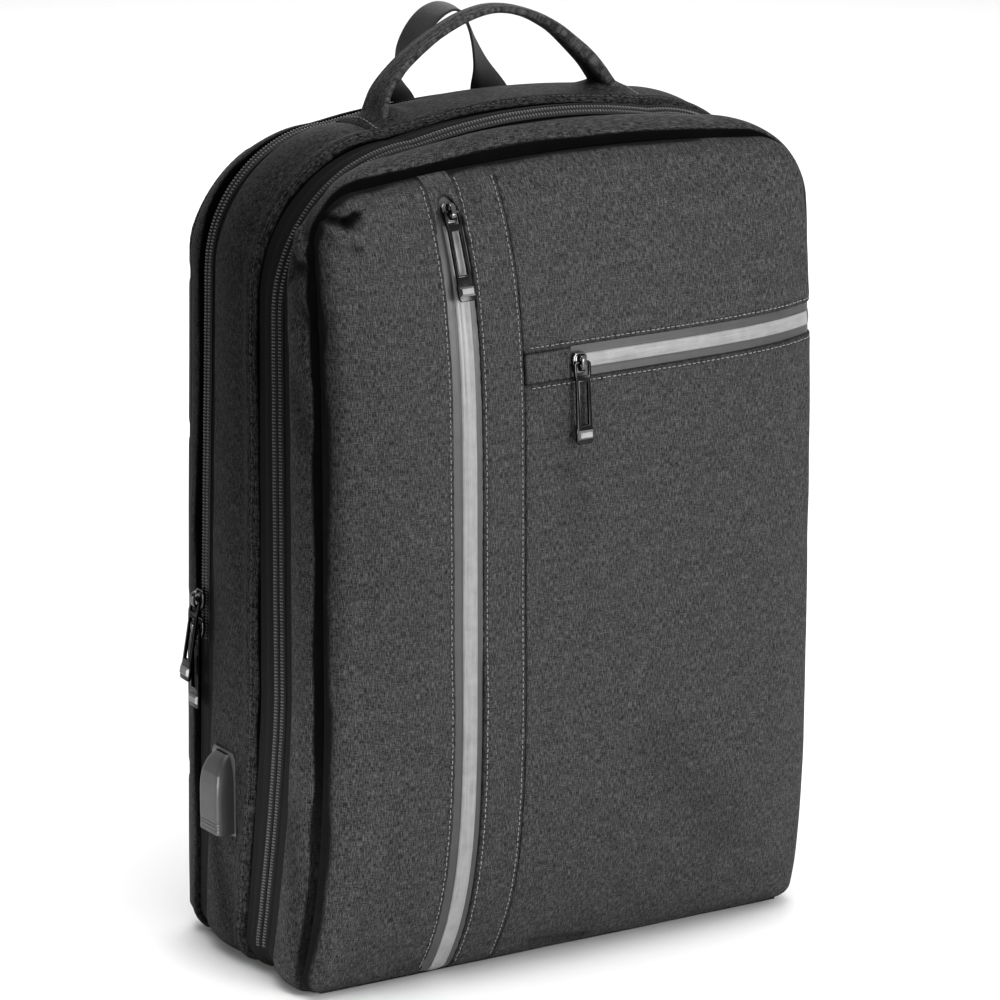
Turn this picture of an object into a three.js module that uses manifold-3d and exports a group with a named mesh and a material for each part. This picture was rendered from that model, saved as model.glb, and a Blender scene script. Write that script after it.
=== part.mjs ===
// Laptop backpack in coated melange cloth, standing on its base.
// Millimetres, +Z up. The front faces -Y, the wearer's back lies at +Y, +X is the right side seen from the front.
// The origin is the middle of the flat base panel.
import * as THREE from "three";
import { mergeVertices } from "three/addons/utils/BufferGeometryUtils.js";
import Module from "manifold-3d";

const wasm = await Module();
wasm.setup();

// Driving dimensions
const WIDTH = 311; // widest part of the body
const HEIGHT = 450; // height of the body, to which the shares of height below refer
const DEPTH = 142; // front seam to back seam, at the side
const CLOTH = 2; // coated cloth with its foam backing
const GAP = 0.3; // between pieces that are sewn or glued together

// Depth of each main line from the front seam, measured on the side
const MAIN_ZIP_AT = 45;
const REAR_ZIP_AT = 117;

// Front face: a cushion on a rim that lies a little further back at its top and base
const BULGE = { rise: 19, acrossPower: 5, alongPower: 5 };
const RIM_BACK = { top: 14, base: 20, power: 4 };
const FLARE = 5; // how much wider the front seam gets on each side, near the base

// Zip tapes that go round the body
const MAIN_TAPE = { front: 13, rear: 16, thick: 1.2, sunk: 3 };
const REAR_TAPE = { front: 10, rear: 8, thick: 1.2, sunk: 3 };
const CHAIN = { width: 8, thick: 2.4, clear: 0.7 };
const MAIN_ZIP_END = 16;
const REAR_ZIP_END = 168; // height where the rear zip stops on each side

// Outline of the body at four lines, front to back. Shares are of half the width and of the height.
const LINES = [
  { name: "front seam", depth: 0, half: 0.97, top: 0.969, topRadius: 30, lowRadius: 11, crown: 6, lean: 0, tuck: 0 },
  { name: "main zip", depth: MAIN_ZIP_AT, half: 0.985, top: 0.993, topRadius: 80, lowRadius: 20, crown: 8, lean: 2, tuck: 26 },
  { name: "rear zip", depth: REAR_ZIP_AT, half: 0.985, top: 0.993, topRadius: 70, lowRadius: 18, crown: 6, lean: 20, tuck: 0 },
  { name: "back seam", depth: DEPTH, half: 0.955, top: 0.975, topRadius: 66, lowRadius: 18, crown: 5, lean: 15, tuck: -3 },
];
const SWELL = [3, 4, 1.5]; // how far the cloth stands out between one line and the next
// Lean: how far a line moves back from the top of the body to its base. Tuck: the same, near the base only.
const TUCK_ZONE = 0.36; // share of the height that the tuck takes
const TUCK_POWER = 1.4;

// Front face layout
const UPRIGHT_ZIP = { x: -75.5, width: 18, stripe: 8.6, tabLength: 12, sliderRoom: 14 };
const SEAM_X = -42.5;
const LEVEL_ZIP = { z: 337, width: 16.5, stripe: 7.2, tabLength: 25, sliderRoom: 10 };
const FLAT_TAPE = { thick: 1.2, sunk: 0.7, stripeThick: 0.4 };
const FACE_INSET = CLOTH + 0.8; // the face lies inside the front edge of the gusset
const RIM_STEPS = 5;
const RIM_SPACING = 28;
const BACK_PANEL = { thick: 8, inset: 4 };

// Carrying handle, and the loop behind it, from the left foot to the right one. Across and up are shares
// of half the span and of the rise. The handle's band is folded: wide and thick say how much it opens.
const PATCH_GAP = 0.9;
const HANDLE = {
  depth: (MAIN_ZIP_AT + MAIN_TAPE.rear + REAR_ZIP_AT - REAR_TAPE.front) / 2,
  span: 138,
  rise: 46,
  width: 12,
  thick: 4.6,
  corner: 2,
  above: 3.5, // from the patch to the middle of the foot
  patch: { length: 168, width: 40, thick: 1.6 },
  course: [
    { across: -1.04, up: 0, wide: 2.15, thick: 1.3 },
    { across: -0.99, up: 0.2, wide: 1.5, thick: 1.3 },
    { across: -0.87, up: 0.41, wide: 1.2, thick: 1.2 },
    { across: -0.71, up: 0.6, wide: 1.1, thick: 1.12 },
    { across: -0.5, up: 0.79, wide: 1.04, thick: 1.05 },
    { across: -0.25, up: 0.945, wide: 1, thick: 1 },
    { across: 0, up: 1, wide: 1, thick: 1 },
    { across: 0.25, up: 0.92, wide: 1.05, thick: 1.15 },
    { across: 0.5, up: 0.73, wide: 1.12, thick: 1.4 },
    { across: 0.7, up: 0.48, wide: 1.25, thick: 1.7 },
    { across: 0.86, up: 0.24, wide: 1.5, thick: 1.85 },
    { across: 1, up: 0, wide: 2.15, thick: 1.85 },
  ],
};
const HANG_LOOP = {
  depth: (REAR_ZIP_AT + REAR_TAPE.rear + DEPTH) / 2,
  span: 60,
  rise: 48,
  width: 23,
  thick: 1.6,
  above: 1.2,
  // Turn: the webbing's width lies across the body at both feet, and from front to back at 90 degrees
  course: [
    { across: -1, up: 0, turn: 0 },
    { across: -0.98, up: 0.2, turn: 50 },
    { across: -0.84, up: 0.48, turn: 80 },
    { across: -0.58, up: 0.76, turn: 90 },
    { across: -0.25, up: 0.95, turn: 90 },
    { across: 0.04, up: 1, turn: 84 },
    { across: 0.3, up: 0.93, turn: 74 },
    { across: 0.48, up: 0.77, turn: 64 },
    { across: 0.62, up: 0.53, turn: 56 },
    { across: 0.77, up: 0.26, turn: 38 },
    { across: 0.93, up: 0, turn: 0 },
  ],
};

// Sliders and pullers. The bridge stands on the slider and holds the puller's cross bar in its window.
const SLIDER = { width: 8.6, ahead: 5.2, behind: 6, thick: 2.2, onTape: 0.5, onChain: 0.7 };
const BRIDGE = { width: 3, length: 8.6, post: 1.6, window: 3.2, bar: 1.2 };
const HINGE_UP = SLIDER.thick + BRIDGE.window / 2;
const PULLER = { thick: 1.6, arm: 1.5, neck: 2.2, waist: 0.92, tail: 8, tailFlare: 1.05, tipEdge: 1.5, tipRise: 0.5 };
const EYE_END = BRIDGE.length / 2 + 2.6; // clear of the bridge's lower post
const SLOT = { side: 0.5, from: EYE_END + 3.5, length: 23 };
// Lift is the angle at which a puller rests on what lies under it
const FRONT_PULLS = {
  upright_zip: { below: 17, length: 47, width: 9.6, lift: -6 },
  level_zip: { beyond: 6, length: 43, width: 10, lift: 0 },
};
const REAR_PULLS = {
  rear_zip_upper: { above: 26.4, length: 45, width: 9.6, lift: 8 },
  rear_zip_lower: { above: 10.4, length: 45, width: 9.6, lift: 0 },
};
const MAIN_PULL = { z: 250, width: 9, length: 40 };

// Charging port on the left side
const PORT = {
  depth: REAR_ZIP_AT - 18,
  z: 96,
  width: 22,
  height: 43,
  out: 11,
  wall: 2,
  chamfer: { from: 0.66, mid: [0.72, 0.88], end: 0.3 },
  flange: { rim: 1.5, thick: 1.2 },
  socket: { depth: 18, width: 13, thick: 5, length: 12, wall: 0.5, floor: 3 },
};

// Straps: [share of half the width, distance off the back panel, share of the height]
const STRAPS = {
  strap: {
    path: [[0.309, 6.1, 0.9], [0.334, 16, 0.8], [0.386, 24, 0.62], [0.45, 20, 0.44], [0.5016, 9, 0.3]],
    width: 62,
    thick: 11,
    taper: (t) => 1 - 1.4 * Math.max(0, t - 0.75),
  },
  adjuster: { path: [[0.5003, 9.1, 0.2955], [0.5042, 9, 0.271]], width: 34, thick: 5 },
  webbing: {
    path: [[0.5055, 8.9, 0.2655], [0.5132, 8.5, 0.245], [0.5788, 6, 0.19], [0.6688, 2.4, 0.13]],
    width: 25,
    thick: 1.6,
  },
  anchor: { path: [[0.672, 2.4, 0.119], [0.6945, 2, 0.08]], width: 32, thick: 3 },
};

const lerp = (a, b, t) => a + (b - a) * t;
const spread = (from, to, count) => Array.from({ length: count + 1 }, (_, i) => lerp(from, to, i / count));
const radians = THREE.MathUtils.degToRad;

const cloth = (color, roughness = 0.9) => new THREE.MeshStandardMaterial({ color, roughness, metalness: 0 });
const MATERIALS = {
  melange: cloth(0x4a4a4a),
  melangeDark: cloth(0x2c2c2b),
  tape: cloth(0x1c1c1e, 0.7),
  coated: cloth(0x5a5a5a, 0.55),
  reflective: cloth(0xbdbdbd, 0.45),
  webbing: cloth(0x1d1d1d),
  mesh: cloth(0x202020),
  chain: new THREE.MeshStandardMaterial({ color: 0x1a1a1a, roughness: 0.45, metalness: 0.1 }),
  gunmetal: new THREE.MeshStandardMaterial({ color: 0x2a2a2a, roughness: 0.25, metalness: 0.9 }),
  plastic: new THREE.MeshStandardMaterial({ color: 0x3f3f3f, roughness: 0.5, metalness: 0 }),
  steel: new THREE.MeshStandardMaterial({ color: 0x9a9a9a, roughness: 0.3, metalness: 1 }),
};

const group = new THREE.Group();
function add(name, geometry, material, parent = group) {
  const mesh = new THREE.Mesh(geometry, MATERIALS[material]);
  mesh.name = name;
  parent.add(mesh);
  return mesh;
}

// Geometry from a list of points and a list of triangles, turned so that its faces point out
function closed(points, triangles) {
  let volume = 0;
  for (const [a, b, c] of triangles) {
    volume += points[a].clone().cross(points[b]).dot(points[c]);
  }
  const faces = volume < 0 ? triangles.map(([a, b, c]) => [a, c, b]) : triangles;
  const geometry = new THREE.BufferGeometry();
  geometry.setFromPoints(points);
  geometry.setIndex(faces.flat());
  return geometry;
}

// Solid between two grids of points of the same size
function wall(outer, inner) {
  const rows = outer.length;
  const columns = outer[0].length;
  const points = [...outer.flat(), ...inner.flat()];
  const at = (side, i, j) => side * rows * columns + i * columns + j;
  const triangles = [];
  const quad = (a, b, c, d) => triangles.push([a, b, c], [a, c, d]);
  for (let i = 0; i + 1 < rows; i++) {
    for (let j = 0; j + 1 < columns; j++) {
      quad(at(0, i, j), at(0, i + 1, j), at(0, i + 1, j + 1), at(0, i, j + 1));
      quad(at(1, i, j), at(1, i, j + 1), at(1, i + 1, j + 1), at(1, i + 1, j));
    }
    quad(at(0, i, 0), at(1, i, 0), at(1, i + 1, 0), at(0, i + 1, 0));
    const last = columns - 1;
    quad(at(0, i, last), at(0, i + 1, last), at(1, i + 1, last), at(1, i, last));
  }
  for (let j = 0; j + 1 < columns; j++) {
    quad(at(0, 0, j), at(0, 0, j + 1), at(1, 0, j + 1), at(1, 0, j));
    const last = rows - 1;
    quad(at(0, last, j), at(1, last, j), at(1, last, j + 1), at(0, last, j + 1));
  }
  return closed(points, triangles);
}

// Solid through closed rings of points of the same count, with flat ends
function loft(rings) {
  const count = rings[0].length;
  const points = rings.flat();
  const triangles = [];
  for (let i = 0; i + 1 < rings.length; i++) {
    for (let j = 0; j < count; j++) {
      const k = (j + 1) % count;
      const [a, b] = [i * count + j, i * count + k];
      triangles.push([a, b, b + count], [a, b + count, a + count]);
    }
  }
  const end = (rings.length - 1) * count;
  for (let j = 1; j + 1 < count; j++) {
    triangles.push([0, j + 1, j], [end, end + j, end + j + 1]);
  }
  return closed(points, triangles);
}

// Joins and cuts
function solid(geometry) {
  const bare = new THREE.BufferGeometry().setAttribute("position", geometry.getAttribute("position").clone());
  bare.setIndex(geometry.index);
  const merged = mergeVertices(bare, 1e-3);
  return new wasm.Manifold(
    new wasm.Mesh({
      numProp: 3,
      vertProperties: merged.attributes.position.array,
      triVerts: new Uint32Array(merged.index.array),
    }),
  );
}
function geometryOf(made) {
  const { vertProperties, triVerts } = made.getMesh();
  const geometry = new THREE.BufferGeometry();
  geometry.setAttribute("position", new THREE.BufferAttribute(vertProperties, 3));
  geometry.setIndex(new THREE.BufferAttribute(triVerts, 1));
  return geometry;
}
const box = (low, high) => {
  const [a, b] = [new THREE.Vector3(...low), new THREE.Vector3(...high)];
  const size = b.clone().sub(a);
  return new THREE.BoxGeometry(size.x, size.y, size.z).translate(...a.add(b).multiplyScalar(0.5));
};
// An outline of [a, b] pairs pushed along the third axis, from low to high
function prism(outline, low, high, axis) {
  const shape = new THREE.Shape(outline.map(([a, b]) => new THREE.Vector2(a, b)));
  const geometry = new THREE.ExtrudeGeometry(shape, { depth: high - low, bevelEnabled: false });
  geometry.translate(0, 0, low);
  if (axis === "x") {
    geometry.applyMatrix4(new THREE.Matrix4().set(0, 0, 1, 0, 1, 0, 0, 0, 0, 1, 0, 0, 0, 0, 0, 1));
  }
  return geometry;
}

// Outline of the body at a line position: 0 front seam, 1 main zip, 2 rear zip, 3 back seam
function line(position) {
  const from = Math.min(Math.floor(position), LINES.length - 2);
  const t = position - from;
  const [a, b] = [LINES[from], LINES[from + 1]];
  const mix = (key) => lerp(a[key], b[key], t);
  const swell = SWELL[from] * Math.sin(Math.PI * t);
  return {
    from,
    t,
    half: (mix("half") * WIDTH) / 2 + swell,
    top: mix("top") * HEIGHT + swell,
    topRadius: mix("topRadius"),
    lowRadius: mix("lowRadius"),
    crown: mix("crown"),
  };
}
// Position of a line that lies a number of millimetres behind the front seam
function positionOf(depth) {
  const from = depth < MAIN_ZIP_AT ? 0 : depth < REAR_ZIP_AT ? 1 : 2;
  const [a, b] = [LINES[from].depth, LINES[from + 1].depth];
  return from + (depth - a) / (b - a);
}

// Depth of the front face at a point of it, and of the four lines at a height
const FRONT_LINE = LINES[0];
const faceHalf = (FRONT_LINE.half * WIDTH) / 2;
const faceTop = FRONT_LINE.top * HEIGHT;
const faceMiddle = faceTop / 2;
function faceY(x, z) {
  const across = Math.min(1, Math.abs(x) / faceHalf) ** BULGE.acrossPower;
  const up = (z - faceMiddle) / faceMiddle;
  const along = Math.min(1, Math.abs(up)) ** BULGE.alongPower;
  const rim = (up > 0 ? RIM_BACK.top : RIM_BACK.base) * Math.abs(up) ** RIM_BACK.power;
  return -DEPTH / 2 + rim - BULGE.rise * (1 - across) * (1 - along);
}
// Share of the way down through the zone near the base, from 0 above it to 1 at the base
const lowShare = (z) => Math.max(0, 1 - z / (TUCK_ZONE * HEIGHT));
// Distance from the middle after the widening near the base; share is 1 at the front seam
function flared(x, z, share) {
  const rim = Math.min(1, Math.abs(x) / faceHalf) ** 2;
  return x * (1 + ((share * FLARE) / faceHalf) * lowShare(z) ** 2 * rim);
}
function lineY(index, x, z) {
  if (index === 0) return faceY(x, z) + CLOTH / 2;
  const { depth, lean, tuck } = LINES[index];
  return depth - DEPTH / 2 + lean * (1 - z / HEIGHT) + tuck * lowShare(z) ** TUCK_POWER;
}

// Points of one line of the body from the left end of its base, up, over the top and down to the right
const ARC_STEPS = 7;
const LOW_STEPS = 3;
const SIDE_STEPS = 6;
const TOP_STEPS = 8;
function hoop(position, inset = 0) {
  const { from, t, half, top, topRadius, lowRadius, crown } = line(position);
  const w = half - inset;
  const h = top - inset;
  const r = topRadius - inset;
  const low = Math.max(2, lowRadius - inset);
  const flat = w - r;
  const side = [];
  for (const a of spread(0, 90, LOW_STEPS)) {
    side.push([w - low + low * Math.sin(radians(a)), inset + low - low * Math.cos(radians(a))]);
  }
  for (const z of spread(inset + low, h - r, SIDE_STEPS).slice(1, -1)) side.push([w, z]);
  for (const a of spread(0, 90, ARC_STEPS)) {
    side.push([flat + r * Math.cos(radians(a)), h - r + r * Math.sin(radians(a))]);
  }
  const over = spread(-flat, flat, TOP_STEPS).slice(1, -1);
  const flatPoints = [
    ...side.map(([x, z]) => [-x, z]),
    ...over.map((x) => [x, h + crown * (1 - (x / flat) ** 2)]),
    ...side.reverse(),
  ];
  return flatPoints.map(([x, z]) => {
    const y = lerp(lineY(from, x, z), lineY(from + 1, x, z), t);
    return new THREE.Vector3(flared(x, z, Math.max(0, 1 - position)), y, z);
  });
}
// Band of cloth that goes up one side of the body, over the top and down the other side
function band(depthFrom, depthTo, steps, thick, sunk = 0) {
  const positions = spread(positionOf(depthFrom), positionOf(depthTo), steps);
  const across = (inset) => positions.map((p) => hoop(p, inset));
  return wall(across(sunk), across(sunk + thick));
}

// Upper and lower edge of a line's outline, moved in by an inset, at a distance from the middle
function edgesOf(spec, inset, x) {
  const w = (spec.half * WIDTH) / 2 - inset;
  const [r, low] = [spec.topRadius - inset, spec.lowRadius - inset];
  const flat = w - r;
  const past = Math.max(0, Math.abs(x) - flat);
  const pastLow = Math.max(0, Math.abs(x) - (w - low));
  const crown = past ? 0 : spec.crown * (1 - (x / flat) ** 2);
  return {
    high: spec.top * HEIGHT - inset - r + Math.sqrt(Math.max(0, r * r - past * past)) + crown,
    low: inset + low - Math.sqrt(Math.max(0, low * low - pastLow * pastLow)),
  };
}
// Distances from the middle that follow the rounded top corner of an outline
function rimSteps(spec, inset, from) {
  const r = spec.topRadius - inset;
  const flat = (spec.half * WIDTH) / 2 - inset - r;
  const corner = spread(0, 90, RIM_STEPS).map((a) => flat + r * Math.sin(radians(a)));
  return [...spread(from, flat, Math.max(1, Math.round((flat - from) / RIM_SPACING))), ...corner.slice(1)];
}
// Rows of a panel: close together where the face turns in
const ROWS_FULL = [0, 0.025, 0.06, 0.1, 0.16, 0.27, 0.42, 0.58, 0.72, 0.82, 0.89, 0.94, 0.975, 1];
const ROWS_UPPER = [0, 0.25, 0.45, 0.62, 0.76, 0.88, 1];
const ROWS_LOWER = [0, 0.04, 0.09, 0.16, 0.25, 0.4, 0.65, 1];
const ROWS_SHORT = [0, 1];
// Piece of a panel between two edges, each a height or a function of x
function patch(xs, lowEdge, highEdge, rows, depthOf, thick, out = 0) {
  const height = (edge, x) => (typeof edge === "function" ? edge(x) : edge);
  const grid = (back) =>
    xs.map((x) =>
      rows.map((share) => {
        const z = lerp(height(lowEdge, x), height(highEdge, x), share);
        return new THREE.Vector3(flared(x, z, 1), depthOf(x, z) - out + back, z);
      }),
    );
  return wall(grid(0), grid(thick));
}
const faceLow = (x) => edgesOf(FRONT_LINE, FACE_INSET, x).low;
const faceHigh = (x) => edgesOf(FRONT_LINE, FACE_INSET, x).high;
const faceSteps = (from) => rimSteps(FRONT_LINE, FACE_INSET, from);
const facePatch = (xs, low, high, rows, thick, out) => patch(xs, low, high, rows, faceY, thick, out);

function frontPanels() {
  const { x, width } = UPRIGHT_ZIP;
  const mirrored = faceSteps(-(x - width / 2 - GAP)).map((v) => -v);
  add("front_panel_left", facePatch(mirrored, faceLow, faceHigh, ROWS_FULL, CLOTH), "melange");
  const strip = [x + width / 2 + GAP, SEAM_X - GAP / 2];
  add("front_panel_strip", facePatch(strip, faceLow, faceHigh, ROWS_FULL, CLOTH), "melange");
  const right = faceSteps(SEAM_X + GAP / 2);
  const half = LEVEL_ZIP.width / 2 + GAP;
  add("front_panel_upper", facePatch(right, LEVEL_ZIP.z + half, faceHigh, ROWS_UPPER, CLOTH), "melange");
  add("front_panel_lower", facePatch(right, faceLow, LEVEL_ZIP.z - half, ROWS_LOWER, CLOTH), "melange");
}

function frontZips() {
  const { thick, sunk, stripeThick } = FLAT_TAPE;
  const stripeOut = GAP + stripeThick - sunk;
  const { x, width, stripe, tabLength } = UPRIGHT_ZIP;
  const edges = [x - width / 2, x + width / 2];
  const tapeTop = faceHigh(x) - tabLength;
  add("upright_zip_tape", facePatch(edges, faceLow, tapeTop - GAP, ROWS_FULL, thick, -sunk), "coated");
  add("upright_zip_end_tab", facePatch(edges, tapeTop, faceHigh, ROWS_UPPER, CLOTH), "melange");
  const bar = [x - stripe / 2, x + stripe / 2];
  const barTop = tapeTop - GAP - UPRIGHT_ZIP.sliderRoom;
  add("upright_zip_stripe", facePatch(bar, faceLow, barTop, ROWS_FULL, stripeThick, stripeOut), "reflective");

  const level = LEVEL_ZIP;
  const [low, high] = [level.z - level.width / 2, level.z + level.width / 2];
  const tab = [SEAM_X + GAP / 2, SEAM_X + level.tabLength];
  add("level_zip_end_tab", facePatch(tab, low, high, ROWS_SHORT, CLOTH), "melange");
  const along = faceSteps(tab[1] + GAP);
  add("level_zip_tape", facePatch(along, low, high, ROWS_SHORT, thick, -sunk), "coated");
  const barAlong = faceSteps(tab[1] + GAP + level.sliderRoom);
  const barEdges = [level.z - level.stripe / 2, level.z + level.stripe / 2];
  add("level_zip_stripe", facePatch(barAlong, ...barEdges, ROWS_SHORT, stripeThick, stripeOut), "reflective");
}

function bodyBands() {
  const mainFront = MAIN_ZIP_AT - MAIN_TAPE.front;
  const mainRear = MAIN_ZIP_AT + MAIN_TAPE.rear;
  const rearFront = REAR_ZIP_AT - REAR_TAPE.front;
  const rearRear = REAR_ZIP_AT + REAR_TAPE.rear;
  add("front_gusset", band(0, mainFront - GAP, 4, CLOTH), "melangeDark");
  add("main_zip_tape", band(mainFront, mainRear, 4, MAIN_TAPE.thick, MAIN_TAPE.sunk), "tape");
  add("main_zip_chain", chain(MAIN_ZIP_AT, MAIN_TAPE, MAIN_ZIP_END), "chain");
  add("middle_gusset", band(mainRear + GAP, rearFront - GAP, 4, CLOTH), "melangeDark");
  add("rear_zip_tape", band(rearFront, rearRear, 4, REAR_TAPE.thick, REAR_TAPE.sunk), "tape");
  add("rear_zip_chain", chain(REAR_ZIP_AT, REAR_TAPE, REAR_ZIP_END), "chain");
  add("rear_band", band(rearRear + GAP, DEPTH, 2, CLOTH), "melangeDark");
}
// How far the teeth stand out of the body's skin
const chainOut = (tape) => CHAIN.clear + CHAIN.thick - tape.sunk;
// Row of zip teeth round the body, cut off level at the end of the zip
function chain(at, tape, end) {
  const half = CHAIN.width / 2;
  const whole = band(at - half, at + half, 2, CHAIN.thick, -chainOut(tape));
  const under = box([-WIDTH, -WIDTH, -WIDTH], [WIDTH, WIDTH, end]);
  return geometryOf(solid(whole).subtract(solid(under)));
}

function backPanel() {
  const spec = LINES.at(-1);
  const depthOf = (x, z) => lineY(LINES.length - 1, x, z) + GAP;
  const grid = (inset, back) => {
    const side = rimSteps(spec, inset, 0);
    const xs = [...side.slice(1).map((x) => -x).reverse(), ...side];
    return xs.map((x) => {
      const { low, high } = edgesOf(spec, inset, x);
      return ROWS_FULL.map((share) => {
        const z = lerp(low - inset, high, share);
        return new THREE.Vector3(x, depthOf(x, z) + back, z);
      });
    });
  };
  add("back_panel", wall(grid(0, 0), grid(BACK_PANEL.inset, BACK_PANEL.thick)), "mesh");
}

function basePanel() {
  const outline = [];
  const backAt = LINES.length - 1;
  for (const p of spread(0, backAt, 9)) {
    const first = hoop(p)[0];
    outline.push([-first.x - GAP, first.y]);
  }
  const left = outline.map(([x, y]) => [-x, y]).reverse();
  const frontXs = spread(outline[0][0], -outline[0][0], 6).slice(1, -1).reverse();
  const front = frontXs.map((x) => [-x, faceY(x, 0) + CLOTH]);
  add("base_panel", prism([...outline, ...left, ...front.reverse()], 0, CLOTH, "z"), "melangeDark");
}

// Solid with the same closed section at each station of a path. Each station has a middle, two unit
// vectors for the section's width and thickness, and the half sizes along them.
function sweep(stations, corner) {
  return loft(
    stations.map(({ at, wide, deep, halfWide, halfDeep }) => {
      const c = Math.min(corner, halfDeep * 0.9);
      const section = [
        [halfWide, halfDeep - c],
        [halfWide - c, halfDeep],
        [c - halfWide, halfDeep],
        [-halfWide, halfDeep - c],
        [-halfWide, c - halfDeep],
        [c - halfWide, -halfDeep],
        [halfWide - c, -halfDeep],
        [halfWide, c - halfDeep],
      ];
      return section.map(([a, b]) => at.clone().addScaledVector(wide, a).addScaledVector(deep, b));
    }),
  );
}

// Height of the body's top at a distance from the middle and a depth
function topAt(x, depth) {
  const { top, crown, half, topRadius: r } = line(positionOf(depth));
  const flat = half - r;
  const past = Math.max(0, Math.abs(x) - flat);
  return past ? top - r + Math.sqrt(r * r - past * past) : top + crown * (1 - (x / flat) ** 2);
}

// Value of a column at a share of the way from the first row of a course to the last
function columnAt(course, name, t) {
  const place = t * (course.length - 1);
  const i = Math.min(Math.floor(place), course.length - 2);
  return lerp(course[i][name], course[i + 1][name], place - i);
}

function courseCurve({ course, span, rise }, y, base) {
  const points = course.map(({ across, up }) => new THREE.Vector3((across * span) / 2, y, base + up * rise));
  return new THREE.CatmullRomCurve3(points, false, "centripetal");
}

function handle() {
  const { depth, span, width, thick, course, patch: size } = HANDLE;
  const y = depth - DEPTH / 2;
  const xs = spread(-size.length / 2, size.length / 2, 12);
  const ys = spread(-size.width / 2, size.width / 2, 4);
  const grid = (up) => xs.map((x) => ys.map((v) => new THREE.Vector3(x, y + v, topAt(x, depth + v) + up)));
  add("handle_patch", wall(grid(PATCH_GAP + size.thick), grid(PATCH_GAP)), "melangeDark");
  const curve = courseCurve(HANDLE, y, topAt(span / 2, depth) + PATCH_GAP + size.thick + HANDLE.above);
  const wide = new THREE.Vector3(0, 1, 0);
  const stations = spread(0, 1, 24).map((t) => ({
    at: curve.getPoint(t),
    wide,
    deep: wide.clone().cross(curve.getTangent(t)),
    halfWide: (width * columnAt(course, "wide", t)) / 2,
    halfDeep: (thick * columnAt(course, "thick", t)) / 2,
  }));
  add("handle", sweep(stations, HANDLE.corner), "melangeDark");
}

function hangLoop() {
  const { depth, span, width, thick, course } = HANG_LOOP;
  const y = depth - DEPTH / 2;
  const curve = courseCurve(HANG_LOOP, y, topAt((span - width) / 2, depth) + HANG_LOOP.above);
  const stations = spread(0, 1, 20).map((t) => {
    const turn = radians(columnAt(course, "turn", t));
    const wide = new THREE.Vector3(Math.cos(turn), Math.sin(turn), 0);
    const deep = wide.clone().cross(curve.getTangent(t)).normalize();
    return { at: curve.getPoint(t), wide, deep, halfWide: width / 2, halfDeep: thick / 2 };
  });
  add("hang_loop", sweep(stations, 0.4), "webbing");
}

// Frame on the body's skin: local x lies across the pull, y points along the pull and z points out
const frameAt = (at, along, out) => {
  const across = along.clone().cross(out).normalize();
  const truly = out.clone().cross(across).normalize();
  return new THREE.Matrix4().makeBasis(across, truly, out.clone().normalize()).setPosition(at);
};
function sliderSolid() {
  const { width, ahead, behind, thick } = SLIDER;
  const top = thick + BRIDGE.window + BRIDGE.bar;
  const [half, end] = [BRIDGE.width / 2, BRIDGE.length / 2];
  const body = solid(box([-width / 2, -ahead, 0], [width / 2, behind, thick]));
  const bridge = solid(box([-half, -end, thick / 2], [half, end, top]));
  const window = solid(box([-width, BRIDGE.post - end, thick], [width, end - BRIDGE.post, thick + BRIDGE.window]));
  return body.add(bridge.subtract(window));
}
// Puller lying along +y, with its cross bar in the slider's bridge
function pullerSolid({ length, width }) {
  const { thick, arm, neck, waist, tail, tailFlare, tipEdge, tipRise } = PULLER;
  const [low, high] = [HINGE_UP - thick / 2, HINGE_UP + thick / 2];
  const half = width / 2;
  const right = [
    [half, -thick / 2],
    [half, EYE_END],
    [half * waist, EYE_END + neck],
    [half * waist, length - tail],
    [half * tailFlare, length - thick / 2],
    [half * waist, length],
  ];
  const left = right.map(([x, y]) => [-x, y]).reverse();
  const tall = SLIDER.thick + PULLER.thick + BRIDGE.length; // higher than the puller, for what cuts through it
  const plate = solid(prism([...right, ...left], low, high, "z"));
  const eye = solid(box([arm - half, thick / 2, 0], [half - arm, EYE_END, tall]));
  const slotHalf = BRIDGE.width / 2 + SLOT.side;
  const slotEnd = Math.min(SLOT.from + SLOT.length, length - tail - neck);
  const slot = solid(box([-slotHalf, SLOT.from, 0], [slotHalf, slotEnd, tall]));
  const tipHalf = half - tipEdge / 2;
  const tip = solid(box([-tipHalf, length - tail + tipEdge, high - tipRise], [tipHalf, length - tipEdge, high + tipRise]));
  return plate.subtract(eye).subtract(slot).add(tip);
}
function zipPull(name, frame, spec) {
  const slider = add(name + "_slider", geometryOf(sliderSolid()), "gunmetal");
  slider.applyMatrix4(frame);
  // The puller's own origin is on its hinge, and its own x axis is the hinge's axis
  const puller = add(name + "_puller", geometryOf(pullerSolid(spec)).translate(0, 0, -HINGE_UP), "gunmetal");
  puller.position.set(0, 0, HINGE_UP);
  puller.rotation.x = radians(spec.lift);
  puller.applyMatrix4(frame);
}
// Outward direction of the front face
function faceNormal(x, z) {
  const step = 1;
  const slopeX = (faceY(x + step, z) - faceY(x - step, z)) / (2 * step);
  const slopeZ = (faceY(x, z + step) - faceY(x, z - step)) / (2 * step);
  return new THREE.Vector3(slopeX, -1, slopeZ).normalize();
}
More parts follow.
